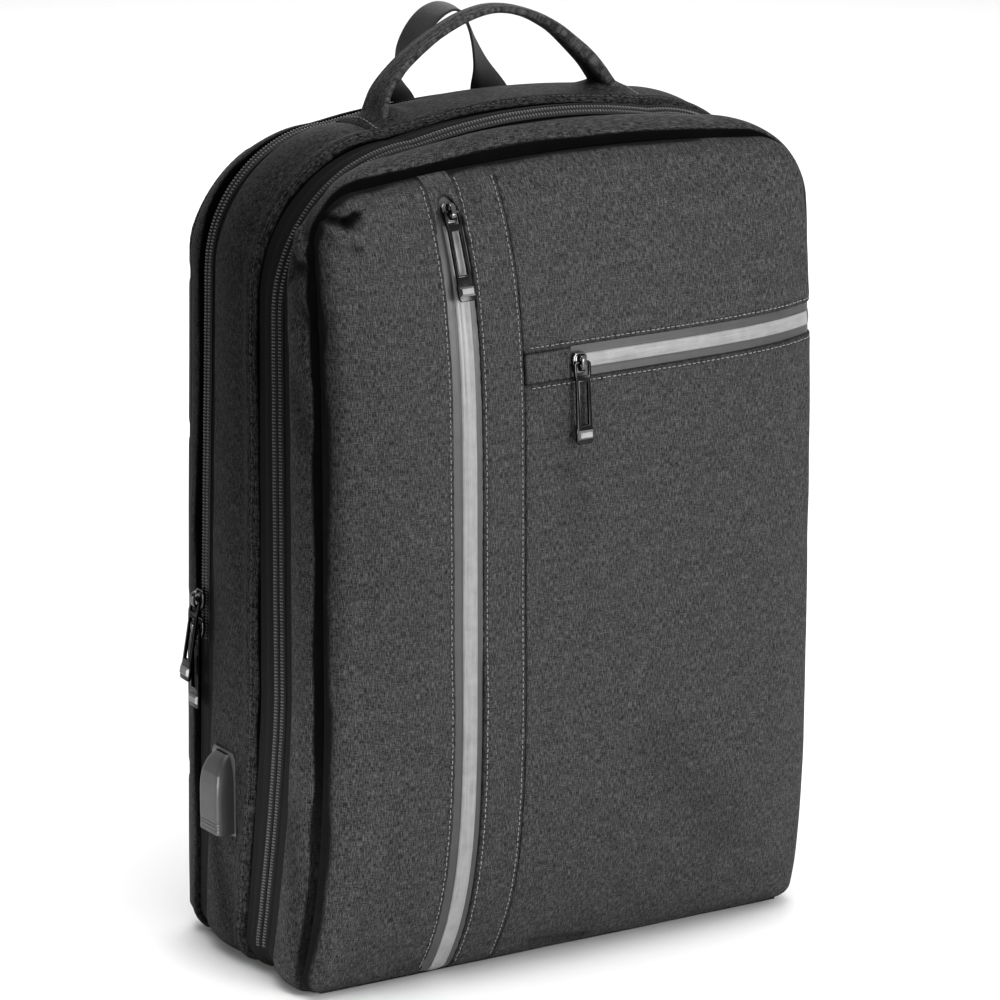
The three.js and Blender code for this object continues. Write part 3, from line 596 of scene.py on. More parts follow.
# Edge of the cloth at the front seam: how far it lies inside the outline and behind the face
FACE_RIM = {"inset": 1.9, "depth": 8, "reach": 7}
GUSSET_RIM = {"inset": 3.2, "back": 8, "reach": 4.5}
FOLD = {"depth": 2.4, "reach": 3.2}
MIDDLE_FOLD = {"depth": 3, "reach": 4, "ridge": 1.8, "ridge_at": 5.5, "ridge_width": 3.4}
BACK_FOLD = {"depth": 1.6, "reach": 4}
MOUTH_DROP = 17  # how far the cloth reaches down beside the upright zip's slider
STRIPE_SHORT = 8  # the level zip's stripe ends this far from the side of the front
STITCH_AWAY = 2.3  # rows of stitches lie this far from a tape's edge
SEAM_STITCH = 1.9  # and this far from the seam between the panels
STITCH_DIP = 0.8  # half width of the dip under a row of stitches
PUCKER = {"pitch": 7.5, "height": 0.28, "reach": 7, "side_reach": 6}
# Cloth turned in along a zip tape and along the seam between the panels
TAPE_EDGE = {"depth": 1.5, "reach": 2.6}
SEAM_EDGE = {"depth": 0.9, "reach": 1.8}
# Uneven filling: height, size and seed of its bumps
FACE_BUMPS = ((0.7, 70, 1), (0.3, 24, 2), (0.1, 9, 3))
# Painted shade: strength and half width of the dark line along a tape, a row of stitches and the seam
TAPE_PAINTED_SHADE, STITCH_PAINTED_SHADE, SEAM_PAINTED_SHADE = (0.6, 1.1), (0.25, 0.9), (0.3, 0.8)

# Folds of the front face: start, end, height, width. Negative heights are hollows.
FACE_CREASES = (
    ((-142, 423), (-132, 420.5), -5, 2.4),
    ((-132, 420.5), (-127, 423.5), -5.5, 2.5),
    ((-139, 431), (-125, 431), 3, 3.6),
    ((-145, 417), (-137, 412), 2.6, 3.6),
    ((-137, 415), (-130, 407), -1.6, 2.6),
    ((-128, 432), (-118, 428), -0.8, 3),
    ((-60, 428), (-56, 418), -0.6, 3),
    ((-20, 12), (14, 9), -1.3, 3),
    ((-100, 10), (-80, 14), -0.7, 4),
    ((60, 20), (120, 16), 0.7, 7),
    ((-20, 300), (-8, 240), -0.35, 7),
    ((40, 120), (90, 60), -0.5, 14),
    ((-110, 250), (-95, 140), 0.5, 12),
)


def beyond_tape(x):
    """How far a point of the front lies beyond the visible tape of the upright zip."""
    u = UPRIGHT_ZIP
    return np.abs(x - u["x"]) - u["width"] / 2 + np.where(x > u["x"], u["lap"], 0)


def rim_roll(x, z):
    """How far the front turns back near its edge."""
    return FACE_RIM["depth"] * rolled(rim_distance(x, z) - FACE_RIM["inset"], FACE_RIM["reach"])


def pucker_wave(along, x, z, seed):
    """Waves of cloth gathered by a row of stitches, uneven along the row."""
    return np.cos(2 * np.pi * along / PUCKER["pitch"] + 3 * ripple(x, z, 30, seed))


def face_relief(x, z):
    """How far the front cloth stands out from the plain face."""
    level = LEVEL_ZIP
    relief = sum(height * ripple(x, z, cell, seed) for height, cell, seed in FACE_BUMPS) - rim_roll(x, z)
    to_tape = beyond_tape(x)
    to_stitch = to_tape - STITCH_AWAY
    edge = TAPE_EDGE["depth"] * rolled(to_tape, TAPE_EDGE["reach"])
    relief -= np.where(z < mouth_height(x), edge, 0) + 0.45 * hollow(to_stitch, STITCH_DIP)
    wave = PUCKER["height"] * pucker_wave(z, x, z, 5)
    relief += wave * hollow(to_stitch, PUCKER["reach"])
    to_seam = np.abs(x - SEAM_X)
    relief -= SEAM_EDGE["depth"] * rolled(to_seam, SEAM_EDGE["reach"])
    relief -= np.where(x < SEAM_X, 0.35 * hollow(to_seam - SEAM_STITCH, STITCH_DIP), 0)
    relief += 0.5 * wave * hollow(to_seam, PUCKER["side_reach"])
    right = ease((x - SEAM_X) / 2)
    to_level = np.abs(z - level["z"]) - level["width"] / 2
    to_stitch = to_level - STITCH_AWAY
    edge = TAPE_EDGE["depth"] * rolled(to_level, TAPE_EDGE["reach"])
    relief -= right * np.where(x > SEAM_X + level["tab"], edge, 0)
    wave = PUCKER["height"] * pucker_wave(x, x, z, 6)
    relief += right * 0.8 * wave * hollow(to_stitch, PUCKER["side_reach"])
    relief -= right * 0.4 * hollow(to_stitch, STITCH_DIP)
    return relief + creases(x, z, FACE_CREASES)


# A line of painted shade: its strength falls off with distance
def painted_shade_line(distance, strength, width):
    return strength * hollow(distance, width)


def face_painted_shade(x, z):
    """Painted shade on the front: how deep a point lies at the rim, in a seam, along a tape, a row of
    stitches or in a fold.
    """
    level = LEVEL_ZIP
    inside = rim_distance(x, z) - FACE_RIM["inset"] + 0.6 * ripple(x, z, 16, 9)
    to_right = ease((x + z - 480) / 60)
    deep = 0.95 * ease(1 - inside / lerp(2, 1, to_right)) + 0.3 * ease(1 - inside / 9)
    to_tape = beyond_tape(x)
    deep = deep + painted_shade_line(to_tape, *TAPE_PAINTED_SHADE) + painted_shade_line(to_tape - STITCH_AWAY, *STITCH_PAINTED_SHADE)
    to_seam = x - SEAM_X
    deep = deep + painted_shade_line(to_seam, *SEAM_PAINTED_SHADE) + painted_shade_line(to_seam + SEAM_STITCH, *STITCH_PAINTED_SHADE)
    to_level = np.abs(z - level["z"]) - level["width"] / 2
    lines = painted_shade_line(to_level, *TAPE_PAINTED_SHADE) + painted_shade_line(to_level - STITCH_AWAY, *STITCH_PAINTED_SHADE)
    deep = deep + np.where(x > SEAM_X, lines, 0)
    return deep + np.clip(-creases(x, z, FACE_CREASES) / 3, 0, 0.9)



def mouth_height(x):
    """Lower edge of the cloth that closes the upright zip above its slider."""
    u = UPRIGHT_ZIP
    apex = edges_of(0, FACE_RIM["inset"], np.array(u["x"]))[1] - u["tab"] + 2
    return apex - MOUTH_DROP * np.clip(np.abs(x - u["x"]) / (u["width"] / 2), 0, 1) ** 2.2


def fine_steps(start, end, step, first=0.45, growth=1.35):
    """Steps from start to end, small at both ends."""
    near = [0.0]
    size = first
    while size < step:
        near.append(near[-1] + size)
        size *= growth
    near = np.array(near)
    span = end - start
    if span < 2.5 * near[-1]:
        t = np.linspace(0, 1, max(3, int(span / first / 2)))
        return lerp(start, end, t)
    middle = np.linspace(near[-1], span - near[-1], int((span - 2 * near[-1]) / step) + 2)[1:-1]
    return start + np.concatenate([near, middle, span - near[::-1]])


def rim_columns(start, step=2.2):
    """Columns from a start out to the rounded corner of the front outline."""
    inset = FACE_RIM["inset"]
    flat = FRONT_HALF - LINES["top_radius"][0]
    radius = LINES["top_radius"][0] - inset
    straight = fine_steps(start, flat, step)
    angles = np.linspace(0, np.pi / 2, 22)[1:]
    return np.concatenate([straight, flat + radius * np.sin(angles)])


def crowded(count, by):
    """Steps from 0 to 1, drawn together at both ends."""
    t = np.linspace(0, 1, count)
    return t - by * np.sin(2 * np.pi * t) / (2 * np.pi)


def face_sheet(xs, low, high, count, thick=CLOTH, relief=face_relief):
    """Shape and cloth coordinates of a piece of the front, between two heights or edges."""
    x = xs[:, None]
    bottom = low(xs) if callable(low) else np.full_like(xs, low)
    top = high(xs) if callable(high) else np.full_like(xs, high)
    z = lerp(bottom[:, None], top[:, None], crowded(count, 0.82)[None])
    x, z = np.broadcast_arrays(x, z)
    y = face_y(x, z) - relief(x, z)
    outer = np.stack([flared(x, z, 1), y, z], -1)
    inner = np.stack([flared(x, z, 1), y + thick, z], -1)
    return shell(outer, inner), doubled(x, z)


def face_low(x):
    return edges_of(0, FACE_RIM["inset"], x)[0]


def face_high(x):
    return edges_of(0, FACE_RIM["inset"], x)[1]


def front_cloth(name, node, sheet, look="front", groove=None, across=False):
    """Piece of the front from its face_sheet. Across turns the cloth's threads by a quarter."""
    shape, weave = sheet
    piece(name, shape, look, node, weave=weave[:, [1, 0, 2]] if across else weave, groove=groove)


def front_panels():
    u, level = UPRIGHT_ZIP, LEVEL_ZIP
    left = -rim_columns(u["width"] / 2 - u["x"])
    strip = fine_steps(u["x"] + u["width"] / 2 - u["lap"], SEAM_X, 2)
    right = rim_columns(SEAM_X)
    upper_edge = level["z"] + level["width"] / 2
    lower_edge = level["z"] - level["width"] / 2
    rows = (
        ("front_panel_left", left, face_low, face_high, 240),
        ("front_panel_strip", strip, face_low, face_high, 240),
        ("front_panel_upper", right, upper_edge, face_high, 70),
        ("front_panel_lower", right, face_low, lower_edge, 190),
    )
    for name, xs, low, high, count in rows:
        front_cloth(name + "_cloth", name, face_sheet(xs, low, high, count), groove=face_painted_shade)


def tape_relief(middle, axis):
    """Relief of a flat zip tape: a low ridge over the hidden coil, and a line on each side of it."""

    def relief(x, z):
        away = (x if axis == "x" else z) - middle
        ridge = 0.9 * hollow(away, 3.2) - 0.25 * hollow(np.abs(away) - 4.6, 0.5)
        return ridge - TAPE_SUNK - 0.8 + 0.08 * ripple(x, z, 14, 8) - rim_roll(x, z)

    return relief


def stripe_relief(middle, axis, half):
    """Relief of the pale stripe: crowned over the coil, its edges down on the tape."""
    under = tape_relief(middle, axis)

    def relief(x, z):
        away = np.abs((x if axis == "x" else z) - middle)
        return under(x, z) + 0.55 - 0.3 * rolled(half - away, 0.8) - 0.12 * hollow(away - half * 0.55, 0.3)

    return relief


TAPE_THICK, STRIPE_THICK = 1, 0.6
TAPE_TUCK = 2.5  # a tape reaches this far under the cloth beside it


def upright_zip():
    u = UPRIGHT_ZIP
    middle, half, stripe = u["x"], u["width"] / 2, u["stripe"] / 2
    top = float(mouth_height(np.array(middle)))
    xs = np.linspace(middle - half - TAPE_TUCK, middle + half + TAPE_TUCK, 40)
    sheet = face_sheet(xs, face_low, top + 1, 220, TAPE_THICK, tape_relief(middle, "x"))
    front_cloth("upright_tape", "upright_zip_tape", sheet, "coated")
    xs = np.linspace(middle - stripe, middle + stripe, 22)
    relief = stripe_relief(middle, "x", stripe)
    sheet = face_sheet(xs, face_low, top - u["room"], 220, STRIPE_THICK, relief)
    front_cloth("upright_stripe", "upright_zip_stripe", sheet, "reflective")
    roll = {"depth": 1.3, "reach": 2.5}

    def tab_relief(x, z):
        return face_relief(x, z) - roll["depth"] * rolled(z - mouth_height(x), roll["reach"])

    # Painted shade under the rolled lower edge of the tab
    def tab_painted_shade(x, z):
        return 0.7 * ease(1 - (z - mouth_height(x)) / roll["reach"])

    xs = np.linspace(middle - half, middle + half - u["lap"], 30)
    sheet = face_sheet(xs, mouth_height, face_high, 26, CLOTH, tab_relief)
    front_cloth("upright_tab", "upright_zip_end_tab", sheet, groove=tab_painted_shade)


def level_zip():
    level = LEVEL_ZIP
    middle, stripe = level["z"], level["stripe"] / 2
    low, high = middle - level["width"] / 2, middle + level["width"] / 2
    tab_end = SEAM_X + level["tab"]
    xs = rim_columns(tab_end - TAPE_TUCK)
    relief = tape_relief(middle, "z")
    sheet = face_sheet(xs, low - TAPE_TUCK, high + TAPE_TUCK, 40, TAPE_THICK, relief)
    front_cloth("level_tape", "level_zip_tape", sheet, "coated", across=True)
    xs = rim_columns(tab_end + level["room"])
    xs = xs[xs < FRONT_HALF - STRIPE_SHORT]
    relief = stripe_relief(middle, "z", stripe)
    sheet = face_sheet(xs, middle - stripe, middle + stripe, 22, STRIPE_THICK, relief)
    front_cloth("level_stripe", "level_zip_stripe", sheet, "reflective", across=True)
    roll_reach = 3

    def tab_relief(x, z):
        from_side = np.minimum(z - low, high - z)
        raised = 0.9 * (1 - rolled(from_side, roll_reach))
        return face_relief(x, z) + raised - 1.4 * rolled(tab_end - x, roll_reach)

    # Painted shade along the tab's sides and at the seam
    def tab_painted_shade(x, z):
        from_side = np.minimum(z - low, high - z)
        return 0.8 * ease(1 - from_side / 1.4) + 0.8 * hollow(x - SEAM_X, 1.2)

    sheet = face_sheet(fine_steps(SEAM_X, tab_end, 1.6), low, high, 26, CLOTH, tab_relief)
    front_cloth("level_tab", "level_zip_end_tab", sheet, groove=tab_painted_shade)


# Folds of the gussets: start and end as (way round from the left end of the base, depth), height, width
GUSSET_CREASES = (
    ((352, 8), (386, 24), -2.4, 4),
    ((378, 10), (402, 24), -2.2, 3.6),
    ((396, 14), (418, 23), 2.4, 4.6),
    ((362, 10), (380, 22), 2, 4),
    ((330, 10), (362, 26), 0.9, 5),
    ((402, 10), (452, 26), -1.1, 5),
    ((300, 14), (330, 24), -0.8, 5),
    ((40, 10), (110, 26), -0.8, 9),
    ((20, 70), (90, 100), -0.9, 9),
    ((150, 66), (240, 84), 0.5, 12),
    ((480, 12), (560, 22), 0.5, 8),
)


def gusset_relief(start, end, front=FOLD, rear=FOLD, seed=20):
    """Inset of a band of cloth whose edges turn in at the zips or seams."""

    def inset(depth, way):
        soft = 0.8 * ripple(way, depth, 60, seed) + 0.35 * ripple(way, depth, 22, seed + 1)
        crown = 0.9 * np.sin(np.pi * np.clip((depth - start) / (end - start), 0, 1))
        turned = front["depth"] * rolled(depth - start, front["reach"])
        turned = turned + rear["depth"] * rolled(end - depth, rear["reach"])
        if "ridge" in front:
            to_ridge = depth - start - front["ridge_at"]
            turned = turned - front["ridge"] * hollow(to_ridge, front["ridge_width"])
        return turned - crown - soft - creases(way, depth, GUSSET_CREASES)

    return inset


def gusset_painted_shade(start, end, front, rear):
    """Painted shade on a band: how deep a point lies at its edges or in a fold. The painted shade reaches
    this far at each edge.

    The front edge's painted shade fades towards the base, and thins out on the right half of the top.
    """
    fade, thin_from, thin_over = 160, 540, 140

    def groove(depth, way):
        above_base = np.minimum(way, ROUND_LENGTH[-1] - way)
        thinned = lerp(1, 0.35, ease((way - thin_from) / thin_over))
        reach = front * (1 + 0.5 * ripple(way, depth, 22, 34)) * thinned
        deep = ease(2 - 2 * (depth - start) / reach) * lerp(0.5, 1, ease(above_base / fade))
        deep = deep + 0.8 * ease(1 - (end - depth) / rear)
        return deep + np.clip(-creases(way, depth, GUSSET_CREASES) / 2.5, 0, 0.7)

    return groove


def band(name, node, ends, steps, inset_of, thick, look, groove=None):
    """Band of cloth up one side of the body, over the top and down the other side."""
    depth = lerp(*ends, crowded(steps, 0.75))[:, None]
    way = ROUND_LENGTH[None]
    position = position_of(depth)
    inset = inset_of(depth, way) + 0 * way
    outer = skin(position, inset)
    outer[..., 2] = np.maximum(outer[..., 2], 0.1)
    inner = skin(position, inset + thick)
    inner[..., 2] = np.maximum(inner[..., 2], thick)
    return piece(name, shell(outer, inner), look, node, weave=doubled(depth, way), groove=groove)


def tape_inset(zip_spec):
    """Inset of a zip tape: sunk under the cloth, lifted where the chain sits."""

    def inset(depth, way):
        behind = depth - zip_spec["at"]
        groove = 0.5 * hollow(np.abs(behind) - CHAIN["width"] / 2 - 0.6, 0.7)
        ramp = zip_spec["ramp"] * ease((behind + 6) / 12) * (1 - 0.9 * ease((behind - 7) / 5))
        flat = zip_spec["sunk"] - 0.7 * hollow(behind, 6) * (zip_spec["ramp"] == 0)
        return flat - ramp + groove + 0.1 * ripple(way, depth, 12, 31)

    return inset


# Depths at which the bands of cloth end beside the two zips, and how far the tapes reach under them
MAIN_EDGES = (MAIN_ZIP["at"] - MAIN_ZIP["front"], MAIN_ZIP["at"] + MAIN_ZIP["rear"])
REAR_EDGES = (REAR_ZIP["at"] - REAR_ZIP["front"], REAR_ZIP["at"] + REAR_ZIP["rear"])
BAND_TUCK = 2
BAND_THICK = 1.8
MIDDLE_RELIEF = gusset_relief(MAIN_EDGES[1], REAR_EDGES[0], MIDDLE_FOLD, FOLD, 24)


def body_bands():
    rim = {"depth": GUSSET_RIM["inset"], "reach": GUSSET_RIM["reach"]}
    front = (GUSSET_RIM["back"], MAIN_EDGES[0])
    middle = (MAIN_EDGES[1], REAR_EDGES[0])
    rear = (REAR_EDGES[1], DEPTH)
    # Each row: name, depths, rows of the grid, relief, look, and how far the painted shade reaches at the
    # front and rear edge
    rows = (
        ("front_gusset", front, 30, gusset_relief(*front, rim, FOLD, 20), "gusset", (3, 1.5)),
        ("middle_gusset", middle, 34, MIDDLE_RELIEF, "side", (1.2, 2.5)),
        ("rear_band", rear, 14, gusset_relief(*rear, FOLD, BACK_FOLD, 28), "side", (2.5, 3)),
    )
    for name, ends, steps, relief, look, reach in rows:
        groove = gusset_painted_shade(*ends, *reach)
        band(name + "_cloth", name, ends, steps, relief, BAND_THICK, look, groove)
    for name, spec, edges, steps in (("main", MAIN_ZIP, MAIN_EDGES, 34), ("rear", REAR_ZIP, REAR_EDGES, 26)):
        ends = (edges[0] - BAND_TUCK, edges[1] + BAND_TUCK)
        band(name + "_tape", name + "_zip_tape", ends, steps, tape_inset(spec), TAPE_THICK, "tape")


# Rows of small things


def capsule(length, width, height, sides=6, rings=3):
    """Rounded bar along X, as a template for a stitch or a tooth."""
    angles = np.linspace(0, 2 * np.pi, sides, endpoint=False)
    turn = np.linspace(-np.pi / 2, np.pi / 2, 2 * rings)
    rows = []
    for a in turn:
        x = math.copysign(length / 2 - width / 2, a) + width / 2 * math.sin(a)
        r = max(0.12, math.cos(a))
        rows.append([[x, r * width / 2 * math.cos(b), r * height / 2 * math.sin(b)] for b in angles])
    return tube(np.array(rows))


def placed(template, at, along, out):
    """The template at many places: its X along, its Z out. One mesh of all."""
    points, faces = template
    along = unit(along)
    across = unit(np.cross(out, along))
    up = np.cross(along, across)
    moved = at[:, None] + points[None, :, :1] * along[:, None] + points[None, :, 1:2] * across[:, None]
    moved = moved + points[None, :, 2:] * up[:, None]
    count = len(points)
    every = [[i + k * count for i in f] for k in range(len(at)) for f in faces]
    return moved.reshape(-1, 3), every


def sampled(values, length, where):
    """Rows of values at other lengths along their line."""
    return np.stack([np.interp(where, length, column) for column in values.T], -1)


def evenly(points, outs, pitch, offset=0.5):
    """Even places along a line of points: places, directions and outward directions."""
    length = lengths_along(points)
    where = np.arange(pitch * offset, length[-1], pitch)
    step = 0.4
    along = sampled(points, length, where + step) - sampled(points, length, where - step)
    return sampled(points, length, where), along, sampled(outs, length, where)


def outward(depth_at, x, z, step):
    """Outward directions of a surface of the front, from the function that gives its depth."""
    slope_x = (depth_at(x + step, z) - depth_at(x - step, z)) / (2 * step)
    slope_z = (depth_at(x, z + step) - depth_at(x, z - step)) / (2 * step)
    return unit(np.stack([slope_x, -np.ones_like(slope_x), slope_z], -1))


def cloth_y(x, z):
    return face_y(x, z) - face_relief(x, z)


def face_line(xs, zs, out):
    """Line of points on the front cloth, lifted by a distance, with its outward directions."""
    outs = outward(cloth_y, xs, zs, 0.5)
    return np.stack([flared(xs, zs, 1), cloth_y(xs, zs), zs], -1) + out * outs, outs


def skin_line(depth, inset_of, out=0.0):
    """Line round the body at a depth, with its outward directions."""
    way = ROUND_LENGTH[None]
    place = np.array([[float(depth)]])
    position = position_of(place)
    inset = inset_of(place, way) + 0 * way
    low = skin(position, inset - out)[0]
    return low, unit(skin(position, inset - out - 1)[0] - low)


STITCH = {"length": 2.1, "width": 0.65, "height": 0.75, "pitch": 3.1}
SIDE_STITCH = {"length": 2, "width": 0.55, "height": 0.55, "pitch": 3.1}
STITCH_LIFT = 0.1


def stitch_rows(name, lines, spec, look):
    """One mesh of separate stitches along lines, each a pair of points and outward directions."""
    template = capsule(spec["length"], spec["width"], spec["height"], 5, 2)
    parts = []
    for points, outs in lines:
        at, along, up = evenly(points, outs, spec["pitch"])
        parts.append(placed(template, at, along, up))
    piece(name, joined(parts), look, sharp=math.pi)


def upright_row(x, low, high):
    zs = np.linspace(low, high, 400)
    return face_line(np.full_like(zs, x), zs, STITCH_LIFT)


def stitching():
    u, level = UPRIGHT_ZIP, LEVEL_ZIP
    rows = []
    for side in (-1, 1):
        x = u["x"] + side * (u["width"] / 2 + STITCH_AWAY) - (u["lap"] if side > 0 else 0)
        rows.append(upright_row(x, face_low(np.array(x)) + 6, face_high(np.array(x)) - 3))
    rows.append(upright_row(SEAM_X - SEAM_STITCH, 8, face_high(np.array(SEAM_X)) - 4))
    for side in (-1, 1):
        z = level["z"] + side * (level["width"] / 2 + STITCH_AWAY)
        xs = np.linspace(SEAM_X + 4, FRONT_HALF - 5, 300)
        rows.append(face_line(xs, np.full_like(xs, z), STITCH_LIFT))
    stitch_rows("front_stitches", rows, STITCH, "thread")
    points, outs = skin_line(MAIN_EDGES[1] + 3.4, MIDDLE_RELIEF, STITCH_LIFT)
    clear = points[:, 2] > 4
    stitch_rows("gusset_stitches", [(points[clear], outs[clear])], SIDE_STITCH, "dark_thread")


TOOTH = {"length": 1.9, "width": 0.85, "height": 1.6, "pitch": 1.8, "apart": 1.95, "lift": 0.7}
CORD = {"half_wide": 1.8, "half_high": 0.75, "lift": 0.8}


def zip_chain(name, zip_spec, node):
    """Two rows of teeth on two coil cords, cut off where the zip ends."""
    middle, outs = skin_line(zip_spec["at"], tape_inset(zip_spec))
    keep = middle[:, 2] > zip_spec["end"]
    middle, outs = middle[keep], outs[keep]
    across = unit(np.cross(outs, np.gradient(middle, axis=0)))
    across *= np.sign(across[:, 1:2])
    tilt = math.radians(zip_spec["tilt"])
    c, s = math.cos(tilt), math.sin(tilt)
    outs, across = outs * c - across * s, across * c + outs * s
    section = [(math.cos(a), math.sin(a)) for a in np.linspace(0, 2 * np.pi, 8, endpoint=False)]
    bar = capsule(TOOTH["length"], TOOTH["width"], TOOTH["height"], 6, 2)
    cords, teeth = [], []
    for side, offset in ((-1, 1.0), (1, 0.5)):
        centre = middle + side * TOOTH["apart"] * across + CORD["lift"] * outs
        rings = [centre + CORD["half_wide"] * a * across + CORD["half_high"] * b * outs for a, b in section]
        cords.append(tube(np.stack(rings, 1)))
        at, along, up = evenly(centre + TOOTH["lift"] * outs, outs, TOOTH["pitch"], offset)
        teeth.append(placed(bar, at, np.cross(up, along), up))
    piece(name + "_cords", joined(cords), "coil", node)
    piece(name + "_teeth", joined(teeth), "teeth", sharp=math.pi)


# Sweeps


def smooth_path(points, count):
    """Centripetal curve through points, sampled at even lengths: places and directions.

    Columns after the third are carried along with the places.
    """
    p = np.array(points, float)
    p = np.concatenate([[2 * p[0] - p[1]], p, [2 * p[-1] - p[-2]]])
    found = []
    for i in range(1, len(p) - 2):
        a, b, c, d = p[i - 1 : i + 3]
        t1 = np.linalg.norm((b - a)[:3]) ** 0.5
        t2 = t1 + np.linalg.norm((c - b)[:3]) ** 0.5
        t3 = t2 + np.linalg.norm((d - c)[:3]) ** 0.5
        for t in np.linspace(t1, t2, 40, endpoint=False):
            a1 = lerp(a, b, t / t1)
            a2 = lerp(b, c, (t - t1) / (t2 - t1))
            a3 = lerp(c, d, (t - t2) / (t3 - t2))
            b1 = lerp(a1, a2, t / t2)
            b2 = lerp(a2, a3, (t - t1) / (t3 - t1))
            found.append(lerp(b1, b2, (t - t1) / (t2 - t1)))
    found.append(p[-2])
    found = np.array(found)
    length = lengths_along(found[:, :3])
    where = np.linspace(0, length[-1], count)
    at = sampled(found, length, where)
    return at, unit(np.gradient(at[:, :3], axis=0)), where


def squarish(half_wide, half_deep, power, count=40):
    """Closed outline between an ellipse (power 2) and a rectangle."""
    a = np.linspace(0, 2 * np.pi, count, endpoint=False) + np.pi / count
    c, s = np.cos(a), np.sin(a)
    x = half_wide * np.sign(c) * np.abs(c) ** (2 / power)
    y = half_deep * np.sign(s) * np.abs(s) ** (2 / power)
    return np.stack([x, y], -1)


def along_run(run, sections):
    """Points and faces of a solid along a run: places, directions of width and thickness, lengths so far.

    Sections are one closed outline (width, thickness) for all places, or one for each.
    """
    at, wide, deep = run[:3]
    return tube(at[:, None] + sections[..., :1] * wide[:, None] + sections[..., 1:] * deep[:, None])


def sweep(name, run, sections, look, node=None):
    """Piece along a run, its cloth laid out across and along it."""
    where = run[3]
    sections = np.broadcast_to(sections, (len(where),) + sections.shape[-2:])
    way = np.broadcast_to(where[:, None], sections.shape[:2])
    weave = np.stack([sections[..., 0], way, sections[..., 1]], -1).reshape(-1, 3)
    return piece(name, along_run(run, sections), look, node, weave=weave)


def arch(course, spec, y, base):
    """Points of a course, with its other columns after the three of the place."""
    return [(across * spec["span"] / 2, y, base + up * spec["rise"], *rest) for across, up, *rest in course]


FOOT = {"rise": 5, "reach": 17}  # the patch rises round each foot of the handle


def patch_relief(x, v):
    """How far the handle's patch stands out from its plain top."""
    edge = np.minimum(PATCH["length"] / 2 - np.abs(x), PATCH["width"] / 2 - np.abs(v))
    to_foot = np.hypot(np.abs(x) - HANDLE["span"] / 2, 0.8 * v)
    raised = FOOT["rise"] * ease(1 - to_foot / FOOT["reach"])
    return raised + 0.25 * ripple(x, v, 20, 41) - 1.2 * rolled(edge, 2.5)


HANDLE_DEPTH = (MAIN_EDGES[1] + REAR_EDGES[0]) / 2
HANDLE_Y = HANDLE_DEPTH - DEPTH / 2


def patch_top(x, v):
    """Height of the handle's patch, at a distance from the middle and behind the handle."""
    return top_at(x, HANDLE_DEPTH + v) + PATCH["gap"] + PATCH["thick"] + patch_relief(x, v)


def handle_patch():
    half_length, half_width = PATCH["length"] / 2, PATCH["width"] / 2
    xs = np.linspace(-half_length, half_length, 90)
    vs = np.linspace(-half_width, half_width, 34)
    x, v = np.meshgrid(xs, vs, indexing="ij")
    top = patch_top(x, v)
    outer = np.stack([x, HANDLE_Y + v, top], -1)
    inner = np.stack([x, HANDLE_Y + v, top - PATCH["thick"]], -1)
    piece("handle_patch_cloth", shell(outer, inner), "side", "handle_patch", weave=doubled(v, x))
    v = np.linspace(3 - half_width, half_width - 3, 40)
    outs = np.tile([0.0, 0.0, 1.0], (len(v), 1))
    rows = []
    for side in (-1, 1):
        x = np.full_like(v, side * (half_length - 3.5))
        rows.append((np.stack([x, HANDLE_Y + v, patch_top(x, v) + STITCH_LIFT], -1), outs))
    stitch_rows("patch_stitches", rows, STITCH, "thread")


def handle():
    """Folded band that opens out at its feet."""
    base = float(top_at(HANDLE["span"] / 2, HANDLE_DEPTH)) + PATCH["gap"] + PATCH["thick"] + HANDLE["above"]
    course, along, where = smooth_path(arch(HANDLE_COURSE, HANDLE, HANDLE_Y, base), 150)
    wide = np.tile([0.0, 1.0, 0.0], (len(course), 1))
    across, up = squarish(1, 1, 3, 64).T
    u = across * HANDLE["width"] / 2
    fold = 0.6 * hollow(u + 2.2, 0.8) + 0.4 * hollow(u - 3.2, 0.7)
    sections = []
    for way, (open_wide, open_thick) in zip(where, course[:, 3:]):
        slack = 0.35 * ripple(u, np.full_like(u, way), 14, 45)
        half_deep = HANDLE["thick"] * open_thick / 2
        rise = np.sign(up) * (half_deep * np.abs(up) - fold + slack)
        rise = np.where(np.abs(up) < 0.3, up * half_deep, rise)
        sections.append(np.stack([u * open_wide, rise], -1))
    run = (course[:, :3], wide, np.cross(wide, along), where)
    sweep("handle_cloth", run, np.array(sections), "front", "handle")


def hang_loop():
    spec = HANG_LOOP
    y = spec["depth"] - DEPTH / 2
    base = float(top_at((spec["span"] - spec["width"]) / 2, spec["depth"])) + spec["above"]
    course, along, where = smooth_path(arch(LOOP_COURSE, spec, y, base), 110)
    turn = np.radians(course[:, 3])
    wide = np.stack([np.cos(turn), np.sin(turn), 0 * turn], -1)
    run = (course[:, :3], wide, unit(np.cross(wide, along)), where)
    section = squarish(spec["width"] / 2, spec["thick"] / 2, 8, 48)
    sweep("hang_loop_webbing", run, section, "webbing", "hang_loop")


# Back, base and straps

STRAP_PATHS = {
    "strap": ((0.309, 6.1, 0.9), (0.334, 16, 0.8), (0.386, 24, 0.62), (0.45, 20, 0.44), (0.5016, 9, 0.3)),
    "webbing": ((0.5055, 8.9, 0.2655), (0.5132, 8.5, 0.245), (0.5788, 6, 0.19), (0.6688, 2.4, 0.13)),
    "adjuster": ((0.5003, 9.1, 0.2955), (0.5042, 9, 0.271)),
    "anchor": ((0.672, 2.4, 0.119), (0.6945, 2, 0.08)),
}
# Quilting of the back: upright channels (middle, flat width, depth) and heights of the cross lines
BACK_CHANNELS = ((0, 26, 4.5), (-104, 5, 2.6), (104, 5, 2.6))
BACK_CROSS = (95, 190, 285, 372)
CROSS = {"depth": 2.6, "width": 3.2, "sag": 5, "spread": 40}
PAD_EDGE = {"thick": 1.5, "reach": 9, "least": 1.2}
PIPING = {"radius": 1.9, "sunk": 1.0, "least": 2}


